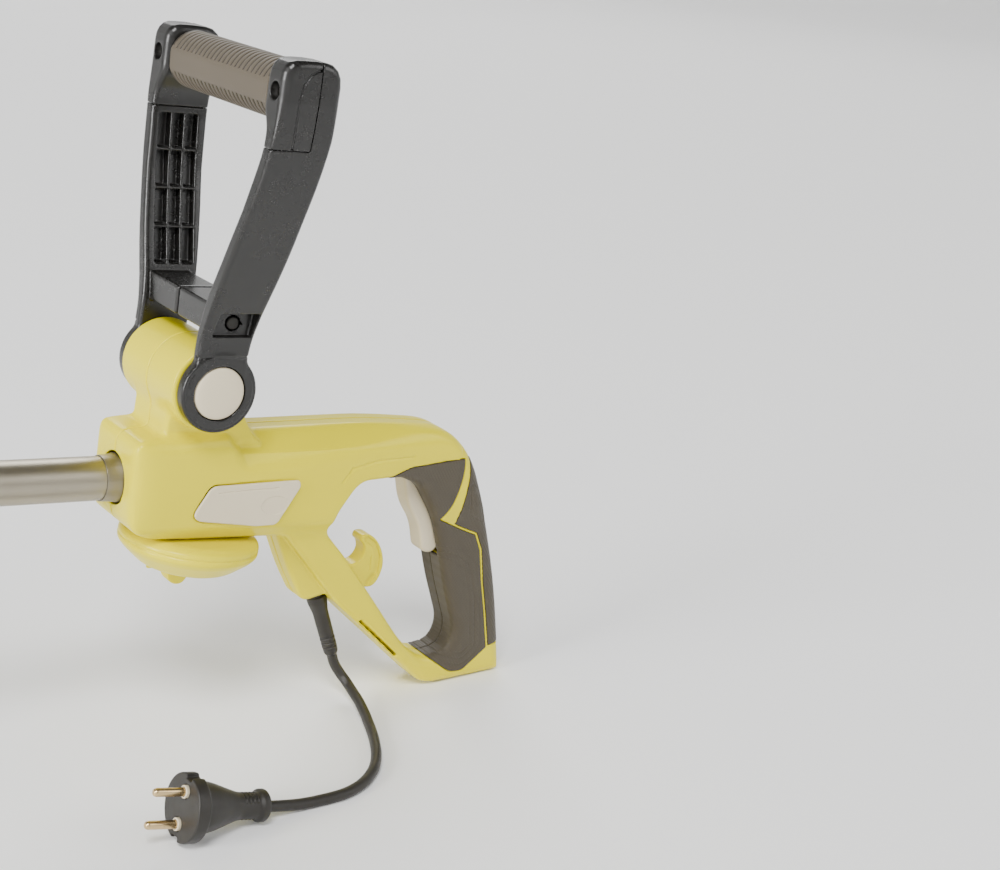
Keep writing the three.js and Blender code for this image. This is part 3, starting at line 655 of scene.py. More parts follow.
# ---------------------------------------------------------------- cord hook and spare spool holder
# Both in the housing's yellow. The hook is an open C with a channel down its side; the holder is a round
# dish that turns on a latch under the nose of the housing.
HOOK = [
    (114.8, -124.9), (119, -121.2), (125, -124.5, 3), (131, -122, 4), (134, -116, 4), (132, -110.5, 2),
    (129.5, -109, 1.5), (130, -105, 2.5), (136, -104.5, 4), (143.5, -110, 6), (149, -121, 8), (149, -131, 8),
    (144, -140.5, 5), (135, -139.8), (130.8, -143.5),
]
space = Space((112, -7, -146), (152, 7, -101), 0.35)
hook = both(1.4, space.along_y(HOOK), np.abs(space.y) - 6)
channel = space.line_y([(134, -107.5), (140, -111.5), (144.2, -120.5), (144, -130), (139, -136.5)]) - 1.7
hook = both(0.4, hook, -np.maximum(channel, 4.6 - np.abs(space.y)))
hook = engraved(hook, space.line_y([(138.6, -119), (139, -129)]), 0.7, 0.5)
hand_in(carve("cord_hook", space, hook, yellow_abs), "housing", "yellow_shell", "cord_hook")

space = Space((-43, -43, -36), (43, 43, 1), 0.55)
radius = np.hypot(space.x, space.y)
dish = [(0, -0.3), (36, -0.3, 3), (41, -3, 2), (41, -9, 1), (38.5, -12, 1), (27, -21.5, 5), (0, -24)]
holder = space.turned([*dish, (-40, -12)], radius, space.z)
holder = engraved(holder, np.abs(space.z + 6) + np.maximum(38 - radius, 0), 0.9, 0.6)
ribs = both(0.8, np.abs(space.y) - 1.2, radius - 24, np.abs(space.z + 22.5) - 1.8)
latch = [(-12, -19), (-12, -29, 2), (-8, -33, 3), (-2, -33, 3), (1, -29, 2), (1, -19)]
latch = both(1.2, space.along_y(latch), np.abs(space.y) - 5)
latch = np.maximum(latch, -both(0.4, np.abs(space.y) - 2.4, np.abs(space.x + 5.5) - 4, -31 - space.z))
holder = either(1.2, np.minimum(holder, ribs), latch)
place = MACHINE @ Matrix.Translation((0.014, 0, -0.094)) @ Matrix.Rotation(math.radians(4), 4, "Y")
holder = carve("spare_spool_holder", space, holder, yellow_abs, place)
hand_in(holder, "housing", "yellow_shell", "spare_spool_holder")


# ---------------------------------------------------------------- trigger, switch and inner parts
# The trigger is moulded in the cream plastic. It swings on a steel pin against a small coil spring and
# presses the switch block. The four screws that close the housing are zinc plated steel.
TRIGGER = [
    (142, -46, 4), (155, -45, 4), (158, -60), (172, -72, 6), (184, -92, 8), (188.5, -116, 2),
    (184, -120.5, 3), (176, -119, 4), (171, -101, 8), (160, -87, 8), (154, -66, 4), (144, -58, 4),
]
TRIGGER_PIN = (149, -51)
space = Space((140, -8, -123), (191, 8, -43), 0.4)
lever = both(2.4, space.along_y(TRIGGER), np.abs(space.y) - 7.2)
lever = np.maximum(lever, 2.3 - np.hypot(space.x - TRIGGER_PIN[0], space.z - TRIGGER_PIN[1]))
hand_in(carve("trigger", space, lever, cream_plastic), "trigger", "cream_plastic", "trigger")


def metal(name, colour, roughness, streaks=(1, 1, 1)):
    finish = Finish(name, Metallic=1.0)
    finish.colour(finish.mix(finish.noise(30, 4, stretch=streaks), tinted(colour, 0.9), tinted(colour, 1.06)))
    finish.roughness(roughness + finish.noise(240, 3, stretch=streaks) * 0.14)
    finish.bump((finish.noise(1600, 2, stretch=streaks), 0.00002))
    return finish


def plain(name, colour, roughness, grain=0.00004):
    finish = Finish(name, Specular_IOR_Level=0.4)
    finish.colour(finish.mix(finish.noise(24, 4, 0.6), tinted(colour, 0.85), tinted(colour, 1.18)))
    finish.roughness(roughness + finish.noise(160, 4, 0.6) * 0.14)
    finish.bump((finish.noise(1500, 2), grain), (finish.noise(60, 2), 0.0001))
    return finish


def dress(finish, *nodes):
    """Gives parts of the frame that are shown as they are a better finish."""
    for name in nodes:
        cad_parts[name].data.materials.clear()
        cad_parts[name].data.materials.append(finish.material)
        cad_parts[name].data.shade_smooth()
        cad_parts[name].data.set_sharp_from_angle(angle=math.radians(35))


zinc = metal("zinc_plated_steel", (0.62, 0.60, 0.57), 0.24)
spring_steel = metal("spring_steel", (0.42, 0.41, 0.40), 0.3)
black_nylon = plain("black_nylon", (0.014, 0.013, 0.012), 0.5)
dress(zinc, "trigger_pin", "grip_core", "motor_shaft", "upper_bearing", "lower_bearing")
dress(black_nylon, "switch_body", "inner_lead", "motor_lead")
dress(black_nylon, "lock_gear_left", "lock_gear_right", "cooling_fan")


def turn(name, corners, finish, place, sides=72):
    """A turned piece about its own Z axis from a closed (radius, height) outline."""
    rings, vertices = [], []
    outline = rounded(corners)
    steps = np.linalg.norm(outline - np.roll(outline, 1, 0), axis=1)
    for r, h in outline[steps > 1e-6]:
        count = sides if r > 1e-6 else 1
        rings.append([len(vertices) + i for i in range(count)])
        for i in range(count):
            angle = 2 * math.pi * i / sides
            vertices.append((r * math.cos(angle) / 1000, r * math.sin(angle) / 1000, h / 1000))
    faces = []
    for low, high in zip(rings, [*rings[1:], rings[0]]):
        for i in range(sides):
            below = [low[i % len(low)], low[(i + 1) % len(low)]]
            above = [high[(i + 1) % len(high)], high[i % len(high)]]
            face = list(dict.fromkeys(below + above))
            if len(face) > 2:
                faces.append(face)
    piece = add_mesh(name, vertices, faces, finish)
    shape = bmesh.new()
    shape.from_mesh(piece.data)
    bmesh.ops.recalc_face_normals(shape, faces=shape.faces)
    shape.to_mesh(piece.data)
    shape.free()
    piece.data.set_sharp_from_angle(angle=math.radians(38))
    piece.matrix_world = place
    return piece


def tube_along(name, points, radius, finish, place, sides=10):
    """A round bar through the points, closed at both ends."""
    curve = bpy.data.curves.new(name, "CURVE")
    curve.dimensions = "3D"
    curve.bevel_depth = radius / 1000
    curve.bevel_resolution = sides // 2 - 1
    curve.use_fill_caps = True
    line = curve.splines.new("POLY")
    line.points.add(len(points) - 1)
    for knot, point in zip(line.points, points):
        knot.co = (*(part / 1000 for part in point), 1)
    rod = bpy.data.objects.new(name, curve)
    bpy.context.scene.collection.objects.link(rod)
    bpy.context.view_layer.update()
    mesh = bpy.data.meshes.new_from_object(rod.evaluated_get(bpy.context.evaluated_depsgraph_get()))
    bpy.data.objects.remove(rod)
    shape = bmesh.new()
    shape.from_mesh(mesh)
    bmesh.ops.remove_doubles(shape, verts=shape.verts, dist=1e-6)
    bmesh.ops.recalc_face_normals(shape, faces=shape.faces)
    shape.to_mesh(mesh)
    shape.free()
    mesh.name = name
    mesh.materials.clear()
    mesh.materials.append(finish.material)
    mesh.shade_smooth()
    piece = bpy.data.objects.new(name, mesh)
    bpy.context.scene.collection.objects.link(piece)
    piece.matrix_world = place
    return piece


def coil(name, radius, wire, turns, length, place):
    """A compression spring from its own origin up its Z axis, with closed flat ends."""
    points = []
    steps = round(turns * 20)
    for i in range(steps + 1):
        share = i / steps
        rise = min(max((share * turns - 0.8) / (turns - 1.6), 0), 1)
        angle = 2 * math.pi * turns * share
        points.append((radius * math.cos(angle), radius * math.sin(angle), wire + (length - 2 * wire) * rise))
    return tube_along(name, points, wire, spring_steel, place, 8)


place = MACHINE @ Matrix.Translation((0.178, 0, -0.079)) @ Matrix.Rotation(math.radians(50), 4, "Y")
spring = coil("trigger_spring", 3, 0.6, 6, 11, place)
hand_in(spring, "housing", "spring_steel", "trigger_spring")
up_spring = tuple(place.to_3x3() @ Vector((0, 0, 1)))
spring_seat = tuple(place @ Vector((0, 0, 0.011)))
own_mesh(spring)

for number, (x, z) in enumerate(SCREWS, 1):
    place = MACHINE @ Matrix.Translation((x / 1000, 0, z / 1000)) @ Matrix.Rotation(-math.pi / 2, 4, "X")
    profile = [
        (0, -10), (1.2, -10), (1.9, -8.5), (1.9, 9.3), (4, 9.3, 0.4), (4, 11.2, 0.8), (3.2, 12, 0.6),
        (1.5, 12), (1.5, 10.4), (0, 10.2),
    ]
    screw = turn(f"housing_screw_{number}", profile, zinc, place, 36)
    hand_in(screw, "housing", "zinc_steel", f"housing_screw_{number}")


# ---------------------------------------------------------------- tilting D-handle
# Two glass-filled nylon arms with ribbed channels inside, a cap on each, and a ribbed sleeve on a steel
# core between the caps. Cream buttons at the pivot push the lock gears in so that the handle can tilt.
def satin_black():
    finish = Finish("black_handle_plastic", Specular_IOR_Level=0.5, Coat_Weight=0.1, Coat_Roughness=0.25)
    black = (0.0065, 0.0060, 0.0053)
    finish.colour(finish.mix(finish.noise(20, 4, 0.6), tinted(black, 0.8), tinted(black, 1.3)))
    rubbed = finish.ramp(finish.noise(26, 5, 0.7), (0.45, 0), (0.75, 1))
    finish.roughness(0.24 + rubbed * 0.12 + finish.noise(700, 2) * 0.05)
    finish.bump((finish.noise(2300, 2), 0.00003), (finish.noise(30, 2), 0.0003))
    return finish


handle_black = satin_black()
ARM_SIDE = [
    (-14.5, 6), (-15.6, 20, 5), (-14.2, 40), (-12.6, 70, 12), (-9.6, 101, 12), (-6.2, 132, 12),
    (-4.8, 158, 10), (-4.4, 187, 11), (31, 188, 26), (30.6, 160, 10), (29.5, 140, 10),
    (26.4, 111, 12), (23.4, 76, 12), (19.1, 47, 10), (15.6, 22, 4), (14.5, 6),
]
ARM_FRONT = [
    (41, -24), (41, 31, 6), (44.8, 45), (50.2, 60, 8), (60.4, 90), (70.2, 120, 12), (75.6, 148, 10),
    (77, 165), (77, 189), (57.5, 189), (57.5, 160, 4), (64.4, 148, 4), (64.3, 138, 6), (56.2, 105), (46, 75),
    (36.4, 50, 8), (33.4, 34, 4), (33.4, -24),
]
ARM_RECESS = [(-9, 32, 1), (15, 32, 1), (17, 46, 1), (-7, 46, 1)]
CAP_LINE = [(6.5, 138), (5.8, 168), (7, 174), (10.5, 179.5), (14.5, 182), (20, 183)]
GRIP_X, GRIP_Z, GRIP_CORE = 13, 168, 9.3
CAP_SCREW_Y, CAP_SCREW_Z = 68, 169.6
ARM_SCREW_X, ARM_SCREW_Z = 4.6, 39


def arm_mass(space):
    edge = 2.4 + 2.6 * np.clip((space.z - 146) / 20, 0, 1)
    strip = both(edge, space.along_y(ARM_SIDE), space.along_x(ARM_FRONT))
    disc = both(1.6, np.hypot(space.x, space.z) - 22.6, np.abs(space.y - 37.2) - 3.9)
    return either(2, strip, disc)


def back_strip(space, clearance):
    """The arm's own back edge, which runs on up behind the cap to the top."""
    return np.maximum(np.maximum(17.5 - clearance - space.x, 69.5 - clearance - space.y), 130 - space.z)


def handle_arm(name, side):
    space = Space((-24, -0.6, -24), (33, 79, 191), 0.6)
    arm = arm_mass(space)
    outer = [(37.5, 20), (37.5, 31, 6), (46.6, 60, 8), (66.7, 120, 12), (72, 150), (0, 150), (0, 20)]
    lean = (space.z - 95) * 0.075
    channel = both(1.2, np.abs(space.x - 7.6 - lean) - 12.2, np.abs(space.z - 95) - 41, space.along_x(outer))
    ribs = np.minimum(np.abs(space.x - 3.6 - lean), np.abs(space.x - 11.8 - lean)) - 0.5
    for height in (74, 95, 116):
        ribs = np.minimum(ribs, np.abs(space.z - height) - 0.5)
    arm = both(0.4, arm, -np.maximum(channel, 0.3 - ribs))
    bar = both(1.5, np.abs(space.x - 2.25) - 12.75, np.abs(space.y - 20.5) - 19.7, np.abs(space.z - 42) - 8)
    trough = (np.abs(space.x - 4.25) - 11.75, np.abs(space.y - 16.2) - 13.8, np.abs(space.z - 45.2) - 2.2)
    arm = np.minimum(arm, both(0.4, bar, -both(1, *trough)))
    radius = np.hypot(space.x, space.z)
    arm = both(0.4, arm, -np.maximum(radius - 15.5, 34.6 - space.y))
    arm = np.maximum(arm, 9.2 - radius)
    arm = both(0.4, arm, -np.maximum(space.along_y(ARM_RECESS), 37.2 - space.y))
    knob = np.hypot(space.x - ARM_SCREW_X, space.z - ARM_SCREW_Z)
    arm = np.minimum(arm, both(0.4, np.maximum(np.abs(knob - 3.7) - 0.8, space.y - 40.6), 37 - space.y))
    arm = engraved(arm, np.abs(space.z - 20.6) + np.maximum(38 - space.y, 0), 0.9, 0.5)
    ring = np.abs(radius - 20.6) + np.maximum(38 - space.y, 0) + np.maximum(space.z - 12, 0)
    arm = engraved(arm, ring, 0.7, 0.35)
    if side < 0:
        arm = np.maximum(arm, -np.maximum(knob - 4.4, 35.3 - space.y))
    arm = np.maximum(arm, -np.maximum(knob - 2.4, space.y - (60 if side < 0 else 22)))
    arm = both(0.5, arm, np.minimum(space.z - 139.85, back_strip(space, 0)))
    screw = np.hypot(space.y - CAP_SCREW_Y, space.z - CAP_SCREW_Z)
    arm = np.maximum(arm, -np.maximum(screw - 2.3, space.x - 22))
    hand_in(carve(name, space, arm, handle_black, mirror=side), "d_handle", "handle_plastic", name)


def handle_cap(name, side):
    space = Space((-7, 54, 139), (34, 80, 191), 0.45)
    cap = arm_mass(space)
    cap = both(0.5, cap, 140.15 - space.z, -back_strip(space, 0.35))
    core = np.hypot(space.x - GRIP_X, space.z - GRIP_Z) - GRIP_CORE
    cap = both(0.5, cap, -np.maximum(core, space.y - 62.3))
    screw = np.hypot(space.y - CAP_SCREW_Y, space.z - CAP_SCREW_Z)
    cap = both(0.5, cap, -np.maximum(screw - 4.7, space.x - 2.3))
    cap = np.maximum(cap, -np.maximum(screw - 2.3, space.x - 22))
    cap = engraved(cap, np.maximum(space.line_y(CAP_LINE), 70 - space.y), 1.3, 0.8)
    hand_in(carve(name, space, cap, handle_black, mirror=side), "d_handle", "handle_plastic", name)


for side_name, side in SIDES:
    handle_arm(f"handle_arm_{side_name}", side)
    handle_cap(f"handle_cap_{side_name}", side)
    place = Matrix.Translation((0, side * CAP_SCREW_Y / 1000, CAP_SCREW_Z / 1000))
    place = MACHINE @ place @ Matrix.Rotation(math.pi / 2, 4, "Y")
    profile = [
        (0, 21), (1.3, 21), (2, 19), (2, 2), (4.2, 2, 0.4), (4.2, 0.6, 0.6), (3.4, -0.2, 0.5),
        (1.5, -0.2), (1.5, 1.2), (0, 1.3),
    ]
    screw = turn(f"cap_screw_{side_name}", profile, zinc, place, 36)
    hand_in(screw, "d_handle", "zinc_steel", f"cap_screw_{side_name}")
    place = MACHINE @ Matrix.Rotation(-side * math.pi / 2, 4, "X")
    profile = [(0, 18.3), (6, 18.3), (6, 38.3), (15, 38.3, 0.4), (15, 41, 1.4), (12, 42.3, 6), (0, 42.8)]
    button = turn(f"pivot_button_{side_name}", profile, cream_plastic, place, 96)
    hand_in(button, f"{side_name}_button", "cream_plastic", f"pivot_button_{side_name}")

black_steel = metal("blackened_steel", (0.045, 0.043, 0.04), 0.36)
place = Matrix.Translation((ARM_SCREW_X / 1000, 0, ARM_SCREW_Z / 1000))
place = MACHINE @ place @ Matrix.Rotation(math.pi / 2, 4, "X")
profile = [(0, 38), (3.2, 38, 0.5), (4, 37.2, 0.6), (4, 35.6), (2.1, 35.6), (2.1, -19), (0, -20)]
hand_in(turn("arm_screw", profile, black_steel, place, 36), "d_handle", "zinc_steel", "arm_screw")
for side_name, side in SIDES:
    place = MACHINE @ Matrix.Rotation(-side * math.pi / 2, 4, "X")
    half_spring = coil(f"lock_spring_{side_name}_half", 7.5, 0.7, 3.5, 21.5, place)
    hand_in(half_spring, "d_handle", "spring_steel", "lock_spring")
    half_spring.name = f"lock_spring_{side_name}_half"
    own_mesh(half_spring)


GRIP_RADIUS, RING_PITCH, RING_DEPTH = 16.3, 4.6, 0.85
PALM_BAND_TILT = math.radians(-2)


def ribbed_rubber():
    finish = Finish("grip_rubber", Specular_IOR_Level=0.3, Sheen_Weight=0.06, Sheen_Roughness=0.5)
    taupe = (0.080, 0.065, 0.045)
    wear = finish.noise(34, 4, 0.6)
    worn = finish.mix(wear, tinted(taupe, 0.92), tinted(taupe, 1.25))
    here = finish.node("ShaderNodeTexCoord", {}, {}, "Object")
    x, y, z = (finish.node("ShaderNodeSeparateXYZ", {}, {"Vector": here}, axis) for axis in "XYZ")
    # Painted shade: the ring grooves across the front of the sleeve are coloured almost black, standing in
    # for the shade that falls inside them.
    ring = finish.node("ShaderNodeMath", {"operation": "PINGPONG"}, {0: y, 1: RING_PITCH / 2000}, "Value")
    painted_groove_shade = finish.node("ShaderNodeMath", {"operation": "LESS_THAN"}, {0: ring, 1: 0.00075}, "Value")
    forward = (GRIP_X / 1000 - x) * math.cos(PALM_BAND_TILT) + (z - GRIP_Z / 1000) * math.sin(PALM_BAND_TILT)
    ringed = finish.node("ShaderNodeMath", {"operation": "LESS_THAN"}, {0: forward, 1: 0.01445}, "Value")
    finish.colour(finish.mix(painted_groove_shade * ringed * 0.8, worn, tinted(taupe, 0.16)))
    finish.roughness(0.5 + wear * 0.15)
    finish.bump((finish.noise(1800, 2), 0.00005))
    return finish


space = Space((-5, -58, 150), (31, 58, 186), 0.4)
radius = np.hypot(space.x - GRIP_X, space.z - GRIP_Z)
ring = np.abs((space.y / RING_PITCH + 0.5) % 1 - 0.5) * RING_PITCH
forward = (GRIP_X - space.x) * math.cos(PALM_BAND_TILT) + (space.z - GRIP_Z) * math.sin(PALM_BAND_TILT)
ringed = np.clip((14.8 - forward) / 0.5, 0, 1) * (np.abs(space.y) < 54)
sleeve = radius - GRIP_RADIUS + RING_DEPTH * np.clip((1.0 - ring) / 0.5, 0, 1) * ringed
sleeve = both(0.5, sleeve, forward - 15.6)
sleeve = both(0.8, sleeve, np.abs(space.y) - 56.7)
sleeve = np.maximum(sleeve, GRIP_CORE - radius)
hand_in(carve("grip_sleeve", space, sleeve, ribbed_rubber()), "d_handle", "ribbed_grip", "grip_sleeve")


# ---------------------------------------------------------------- shaft tube and its ferrule
# Drawn aluminium tube, 25 mm, champagne lacquered over fine lengthwise draw marks; a flared ferrule
# in the same lacquer guides it into the housing.
champagne = metal("champagne_tube", (0.36, 0.325, 0.255), 0.3, (0.06, 1.6, 1.6))
place = MACHINE @ Matrix.Translation((0, 0, TUBE_HEIGHT / 1000)) @ Matrix.Rotation(math.pi / 2, 4, "Y")
profile = [(11, -788.9), (12.5, -788.9, 0.4), (12.5, 42, 0.4), (11, 42)]
hand_in(turn("shaft_tube", profile, champagne, place, 96), "housing", "satin_tube", "shaft_tube")
ferrule_plastic = metal("ferrule_lacquer", (0.30, 0.27, 0.21), 0.38)
profile = [(12.75, -47), (13, -47, 0.2), (13.3, -41, 2), (14.2, -37, 1), (14.2, -30.5), (12.75, -30.5)]
ferrule = turn("shaft_ferrule", profile, ferrule_plastic, place, 96)
hand_in(ferrule, "housing", "ferrule_plastic", "shaft_ferrule")


# ---------------------------------------------------------------- strain relief and plug
# Both moulded on the lead in black rubber. The plug is the round flanged kind with two brass pins in
# cream collars; it rests on its flange, nose slightly raised.
START, TOWARDS = (Vector(point) / 1000 for point in LEAD_ROUTE[:2])
up_relief = (START - TOWARDS).normalized()
aim = up_relief.to_track_quat("Z", "Y").to_matrix().to_4x4()
place = Matrix.Translation(START + up_relief * 0.0003) @ aim
profile = [(0, 0), (3.7, 0, 0.3), (4.5, 1.6, 0.8), (4.7, 6)]
for z in (6, 9.5, 13):
    profile += [(4.75, z, 0.3), (4.3, z + 0.3, 0.3), (4.3, z + 1.2, 0.3), (4.8, z + 1.5, 0.3)]
profile += [(4.9, 32, 2), (6.3, 40.5, 1), (6.4, 44.8, 0.5), (5.2, 45.4, 0.4), (5.2, 56, 0.6), (0, 56)]
relief = turn("strain_relief", profile, sheath_rubber, place, 48)
hand_in(relief, "housing", "lead_rubber", "strain_relief")

PIN_OFFSET = 9.5
plug_rise = math.asin(0.21)
PLUG = Matrix.Translation((-0.2043, -0.117, 0.0095)) @ Matrix.Rotation(-math.pi / 2 + plug_rise, 4, "Y")
space = Space((-19.6, -19.6, -0.6), (19.6, 19.6, 52.8), 0.4)
radius = np.hypot(space.x, space.y)
profile = [
    (-9, 0), (7.5, 0, 1), (9.2, 1.5, 1), (9.2, 5, 1), (7.6, 6.5, 1), (7.6, 18, 2), (9.5, 24, 3), (13, 34, 3),
    (15, 43, 2), (19, 44.5, 1), (19, 52, 1), (-9, 52),
]
plug = space.turned(profile, radius, space.z)
for z in (8.6, 11, 13.4, 15.8):
    plug = engraved(plug, np.abs(space.z - z) + np.maximum(np.abs(space.y) - 5.5, 0), 0.8, 0.7)
notch = both(0.8, np.abs(np.abs(space.x) - 21) - 4.6, np.abs(space.y) - 3)
plug = both(0.7, plug, -np.maximum(notch, 40 - space.z))
waist = both(2, np.abs(np.abs(space.y) - 24) - 9.5, np.abs(space.z - 34) - 9.5, np.abs(space.x) - 9)
plug = both(1, plug, -waist)
for side in (-1, 1):
    socket = np.hypot(space.x - side * PIN_OFFSET, space.y) - 3.9
    plug = np.maximum(plug, -np.maximum(socket, 44 - space.z))
body = carve("plug_body", space, plug, sheath_rubber, PLUG)
hand_in(body, "housing", "lead_rubber", "plug_body")
plug_pieces = [body]
brass = metal("nickelled_brass", (0.68, 0.50, 0.26), 0.2, (1, 1, 0.3))
for number, side in ((1, -1), (2, 1)):
    place = PLUG @ Matrix.Translation((side * PIN_OFFSET / 1000, 0, 0))
    profile = [(2.7, 44.4), (3.6, 44.4), (3.6, 53.4, 0.5), (2.7, 53.4)]
    collar = turn(f"pin_collar_{number}", profile, cream_plastic, place, 36)
    hand_in(collar, "housing", "cream_plastic", f"pin_collar_{number}")
    profile = [(0, 44.4), (2.4, 44.4), (2.4, 70, 0.8), (1.5, 71.4, 0.6), (0, 71.4)]
    pin = turn(f"plug_pin_{number}", profile, brass, place, 36)
    hand_in(pin, "housing", "pin_brass", f"plug_pin_{number}")
    plug_pieces += [collar, pin]


# ---------------------------------------------------------------- motor head
# Two yellow half shells round the motor, clamped on the tube's bent end, with cooling slots low on both
# sides and raised ribs over the crown. The head frame is +Z up the motor axis, +X towards the user.
HEAD = Matrix.Translation((-1.12373, 0, 0.13994)) @ Matrix.Rotation(math.radians(49), 4, "Y")
MOTOR_OUTER = [
    (-20, 1), (39, 1, 1), (42, 8, 3), (42, 62, 14), (37, 84, 14), (30, 106, 14), (22, 128, 8), (12, 138, 6),
    (0, 140), (-20, 140),
]
MOTOR_INNER = [(-20, 4), (36.4, 4), (39, 10), (39, 61), (34, 83), (27, 105), (19, 127), (10, 135), (-20, 137)]


def motor_shell(name, side):
    space = Space((-44, -0.6, -0.6), (76, 44, 197), 0.7)
    radius = np.hypot(space.x, space.y)
    shell = space.turned(MOTOR_OUTER, radius, space.z)
    sine = math.sin(math.radians(45))
    along = (space.x + space.z - 124) * sine
    across = np.hypot((space.x - space.z + 124) * sine, space.y)
    neck = both(2.5, across - 20, np.abs(along - 39) - 39)
    shell = either(9, shell, neck)
    for offset in (46, 55, 64):
        band = both(0.8, np.abs(along - offset) - 1.6, across - 21)
        shell = either(1.5, shell, np.maximum(band, 12 - across))
    solid_shell = shell
    shell = np.maximum(shell, -space.turned(MOTOR_INNER, radius, space.z))
    shell = np.maximum(shell, -np.maximum(across - TUBE_BORE, 20 - along))
    shell = np.maximum(shell, -np.maximum(radius - 11.3, space.z - 8))
    for i in range(-3, 4):
        slot = both(1.2, np.abs(space.x - i * 10) - 3, np.abs(space.z - 28) - 12, 20 - space.y)
        shell = both(0.6, shell, -slot)
    for height in (70, 80):
        shell = engraved(shell, np.abs(space.z - height) + np.maximum(space.x - 4, 0) * 0.6, 1.4, 0.8)
    shell = engraved(shell, np.abs(space.z - 10.5) + np.maximum(20 - radius, 0), 1.0, 0.6)
    shell = np.maximum(shell, -np.maximum(0.75 - space.y, -(solid_shell + 0.7)))
    shell = np.maximum(shell, HALF_GAP - space.y)
    hand_in(carve(name, space, shell, yellow_abs, HEAD, side), "housing", "yellow_shell", name)


for side_name, side in SIDES:
    motor_shell(f"motor_{side_name}_shell", side)

copper = metal("enamelled_copper", (0.60, 0.28, 0.12), 0.32)
line_orange = plain("orange_nylon_line", (0.62, 0.20, 0.03), 0.3, 0.00002)
dress(copper, "motor_stator", "motor_armature")


# ---------------------------------------------------------------- guard and line cutter
# Black polypropylene guard with a skirt along its rear half, stiffening ribs on top, and a zinc plated
# blade screwed to its corner that trims the line.
GUARD = [
    (155, -72, 16), (155, 72, 16), (128, 110, 20), (66, 130, 6), (0, 92, 30), (-54, 44, 24),
    (-54, -44, 24), (0, -92, 30), (66, -130, 6), (128, -110, 20),
]
space = Space((-56, -132, -36), (157, 132, 4), 0.9)
plan = space.along_z(GUARD)
guard = both(1.6, plan, np.abs(space.z + 17.2) - 17.8)
hollow = both(1.6, plan + 3.2, space.z + 2.4)
guard = both(0.5, guard, -hollow)
guard = np.maximum(guard, -both(3, space.x - 62, space.z + 2.4))
radius = np.hypot(space.x, space.y)
for reach in (64, 88, 112, 136):
    ring = both(0.8, np.abs(radius - reach) - 1.1, plan + 7, 44 - space.x, np.abs(space.z - 0.4) - 1.5)
    guard = either(1.2, guard, ring)
collar = both(1.2, radius - 50, np.abs(space.z - 0.2) - 0.8)
guard = np.minimum(guard, np.maximum(collar, 43.5 - radius))
cutter_seat = (np.abs(space.x - 55) - 9, np.abs(space.y - 123) - 6, np.abs(space.z + 9) - 9)
guard = np.minimum(guard, both(0.8, *cutter_seat))
guard = np.maximum(guard, -np.maximum(radius - 12, space.z - 6))
hand_in(carve("guard", space, guard, handle_black, HEAD), "housing", "dark_plastic", "guard")

space = Space((46, 116, -33), (62.2, 141, -17.8), 0.25)
foot = (np.abs(space.x - 54.05) - 7.55, np.abs(space.y - 128.5) - 11.5, np.abs(space.z + 19.05) - 0.75)
blade = (np.abs(space.x - 60.8) - 0.8, np.abs(space.y - 132) - 8, np.abs(space.z + 25.15) - 6.85)
teeth = 1.2 * np.abs((space.y / 2.4) % 1 - 0.5) * 2
cutter = np.minimum(both(0.25, *foot), np.maximum(both(0.25, *blade), -31.6 + teeth - space.z))
hand_in(carve("line_cutter", space, cutter, zinc, HEAD), "housing", "zinc_steel", "line_cutter")
profile = [
    (0, -20.1), (3.6, -20.1, 0.3), (3.6, -21.6, 0.6), (2.8, -22.4, 0.5), (1.3, -22.4), (1.3, -21.2),
    (0, -21.1),
]
place = HEAD @ Matrix.Translation((0.053, 0.122, 0))
hand_in(turn("cutter_screw", profile, zinc, place, 36), "housing", "zinc_steel", "cutter_screw")


# ---------------------------------------------------------------- cutting head
# A fluted black nylon spool housing spins on the motor shaft. The cream bump cap under it is knocked on
# the ground to feed the orange nylon line out through two holes in the housing's wall.
space = Space((-47, -47, -51), (47, 47, -6), 0.6)
radius = np.hypot(space.x, space.y)
angle = np.arctan2(space.y, space.x)
profile = [
    (4.3, -7), (37, -7, 4), (45.8, -14, 4), (45.8, -46, 0.6), (43, -46), (43, -15.5, 2), (37, -10.5, 2),
    (4.3, -10.5),
]
drum = space.turned(profile, radius, space.z)
flutes = np.maximum(np.cos(angle * 18), 0) * 1.1 * np.clip((radius - 40) / 3, 0, 1)
flutes = flutes * np.clip((-18 - space.z) / 4, 0, 1) * np.clip((space.z + 44) / 3, 0, 1)
drum = drum + flutes * np.clip(np.abs(np.abs(angle) - math.pi / 2) * 46 - 7, 0, 1)
eyelet = np.hypot(space.x, space.z + 28)
drum = np.maximum(drum, -np.maximum(eyelet - 2.2, 36 - np.abs(space.y)))
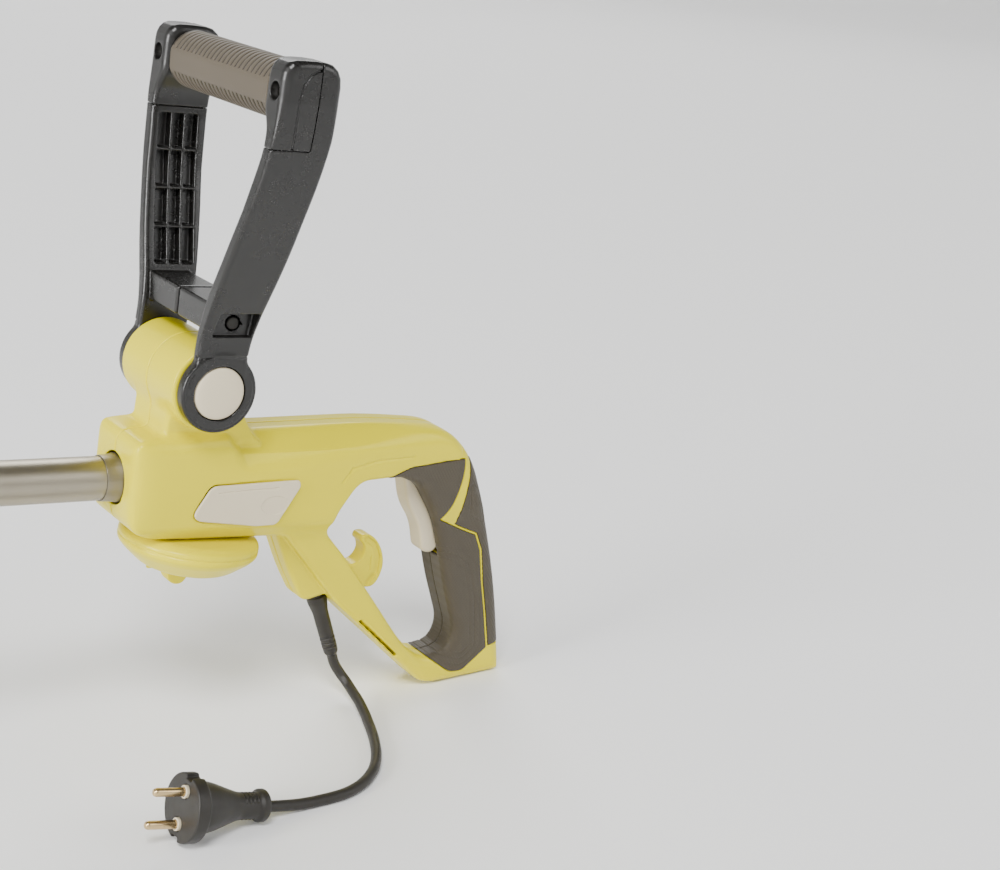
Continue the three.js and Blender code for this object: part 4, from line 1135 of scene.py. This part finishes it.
for turn_by in range(6):
    spoke = angle - turn_by * math.pi / 3
    spoke = (spoke + math.pi) % (2 * math.pi) - math.pi
    window = both(1, np.abs(spoke) * radius - 5, np.abs(radius - 25) - 6, np.abs(space.z + 9) - 4)
    drum = both(0.4, drum, -window)
drum = np.maximum(drum, -45.95 - space.z)
drum = carve("spool_housing", space, drum, handle_black, HEAD)
hand_in(drum, "cutting_head", "dark_plastic", "spool_housing")
profile = [
    (20.5, -46.3), (45.5, -46.3, 0.4), (45.5, -47.6, 0.8), (43.6, -50, 1), (36, -50, 0.6), (34.5, -49.2, 0.6),
    (26, -49.2, 0.6), (24.5, -50, 0.6), (20.5, -50),
]
hand_in(turn("spool_lid", profile, black_nylon, HEAD, 96), "cutting_head", "dark_plastic", "spool_lid")
space = Space((-24, -24, -71), (24, 24, -43), 0.45)
radius = np.hypot(space.x, space.y)
angle = np.arctan2(space.y, space.x)
profile = [(-9, -70), (15, -68.6, 6), (22.8, -62, 3), (22.8, -57, 0.6), (19, -56), (19, -44), (-9, -44)]
knob = space.turned(profile, radius, space.z)
scallops = 0.9 * np.maximum(np.cos(angle * 10), 0) * np.clip((-56 - space.z) / 2, 0, 1)
knob = knob + scallops * np.clip((space.z + 68) / 2, 0, 1) * np.clip((radius - 14) / 4, 0, 1)
knob = engraved(knob, np.abs(radius - 9) + np.maximum(space.z + 62, 0), 1.2, 0.5)
hand_in(carve("bump_cap", space, knob, cream_plastic, HEAD), "bump_spool", "cream_plastic", "bump_cap")
spring = coil("spool_spring", 6.8, 0.7, 6, 26.6, HEAD @ Matrix.Translation((0, 0, -0.0435)))
hand_in(spring, "cutting_head", "spring_steel", "spool_spring")
spring_seat = tuple(HEAD @ Vector((0, 0, -0.0169)))
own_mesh(spring)
dress(line_orange, "spool", "line_coil")
for side_name, side in SIDES:
    points = [(0, side * along, -28) for along in (40.5, 60, 80, 100, 120, 134)]
    line = tube_along(f"cutting_line_{side_name}", points, 1.2, line_orange, HEAD, 12)
    hand_in(line, "cutting_head", "line_nylon", f"cutting_line_{side_name}")
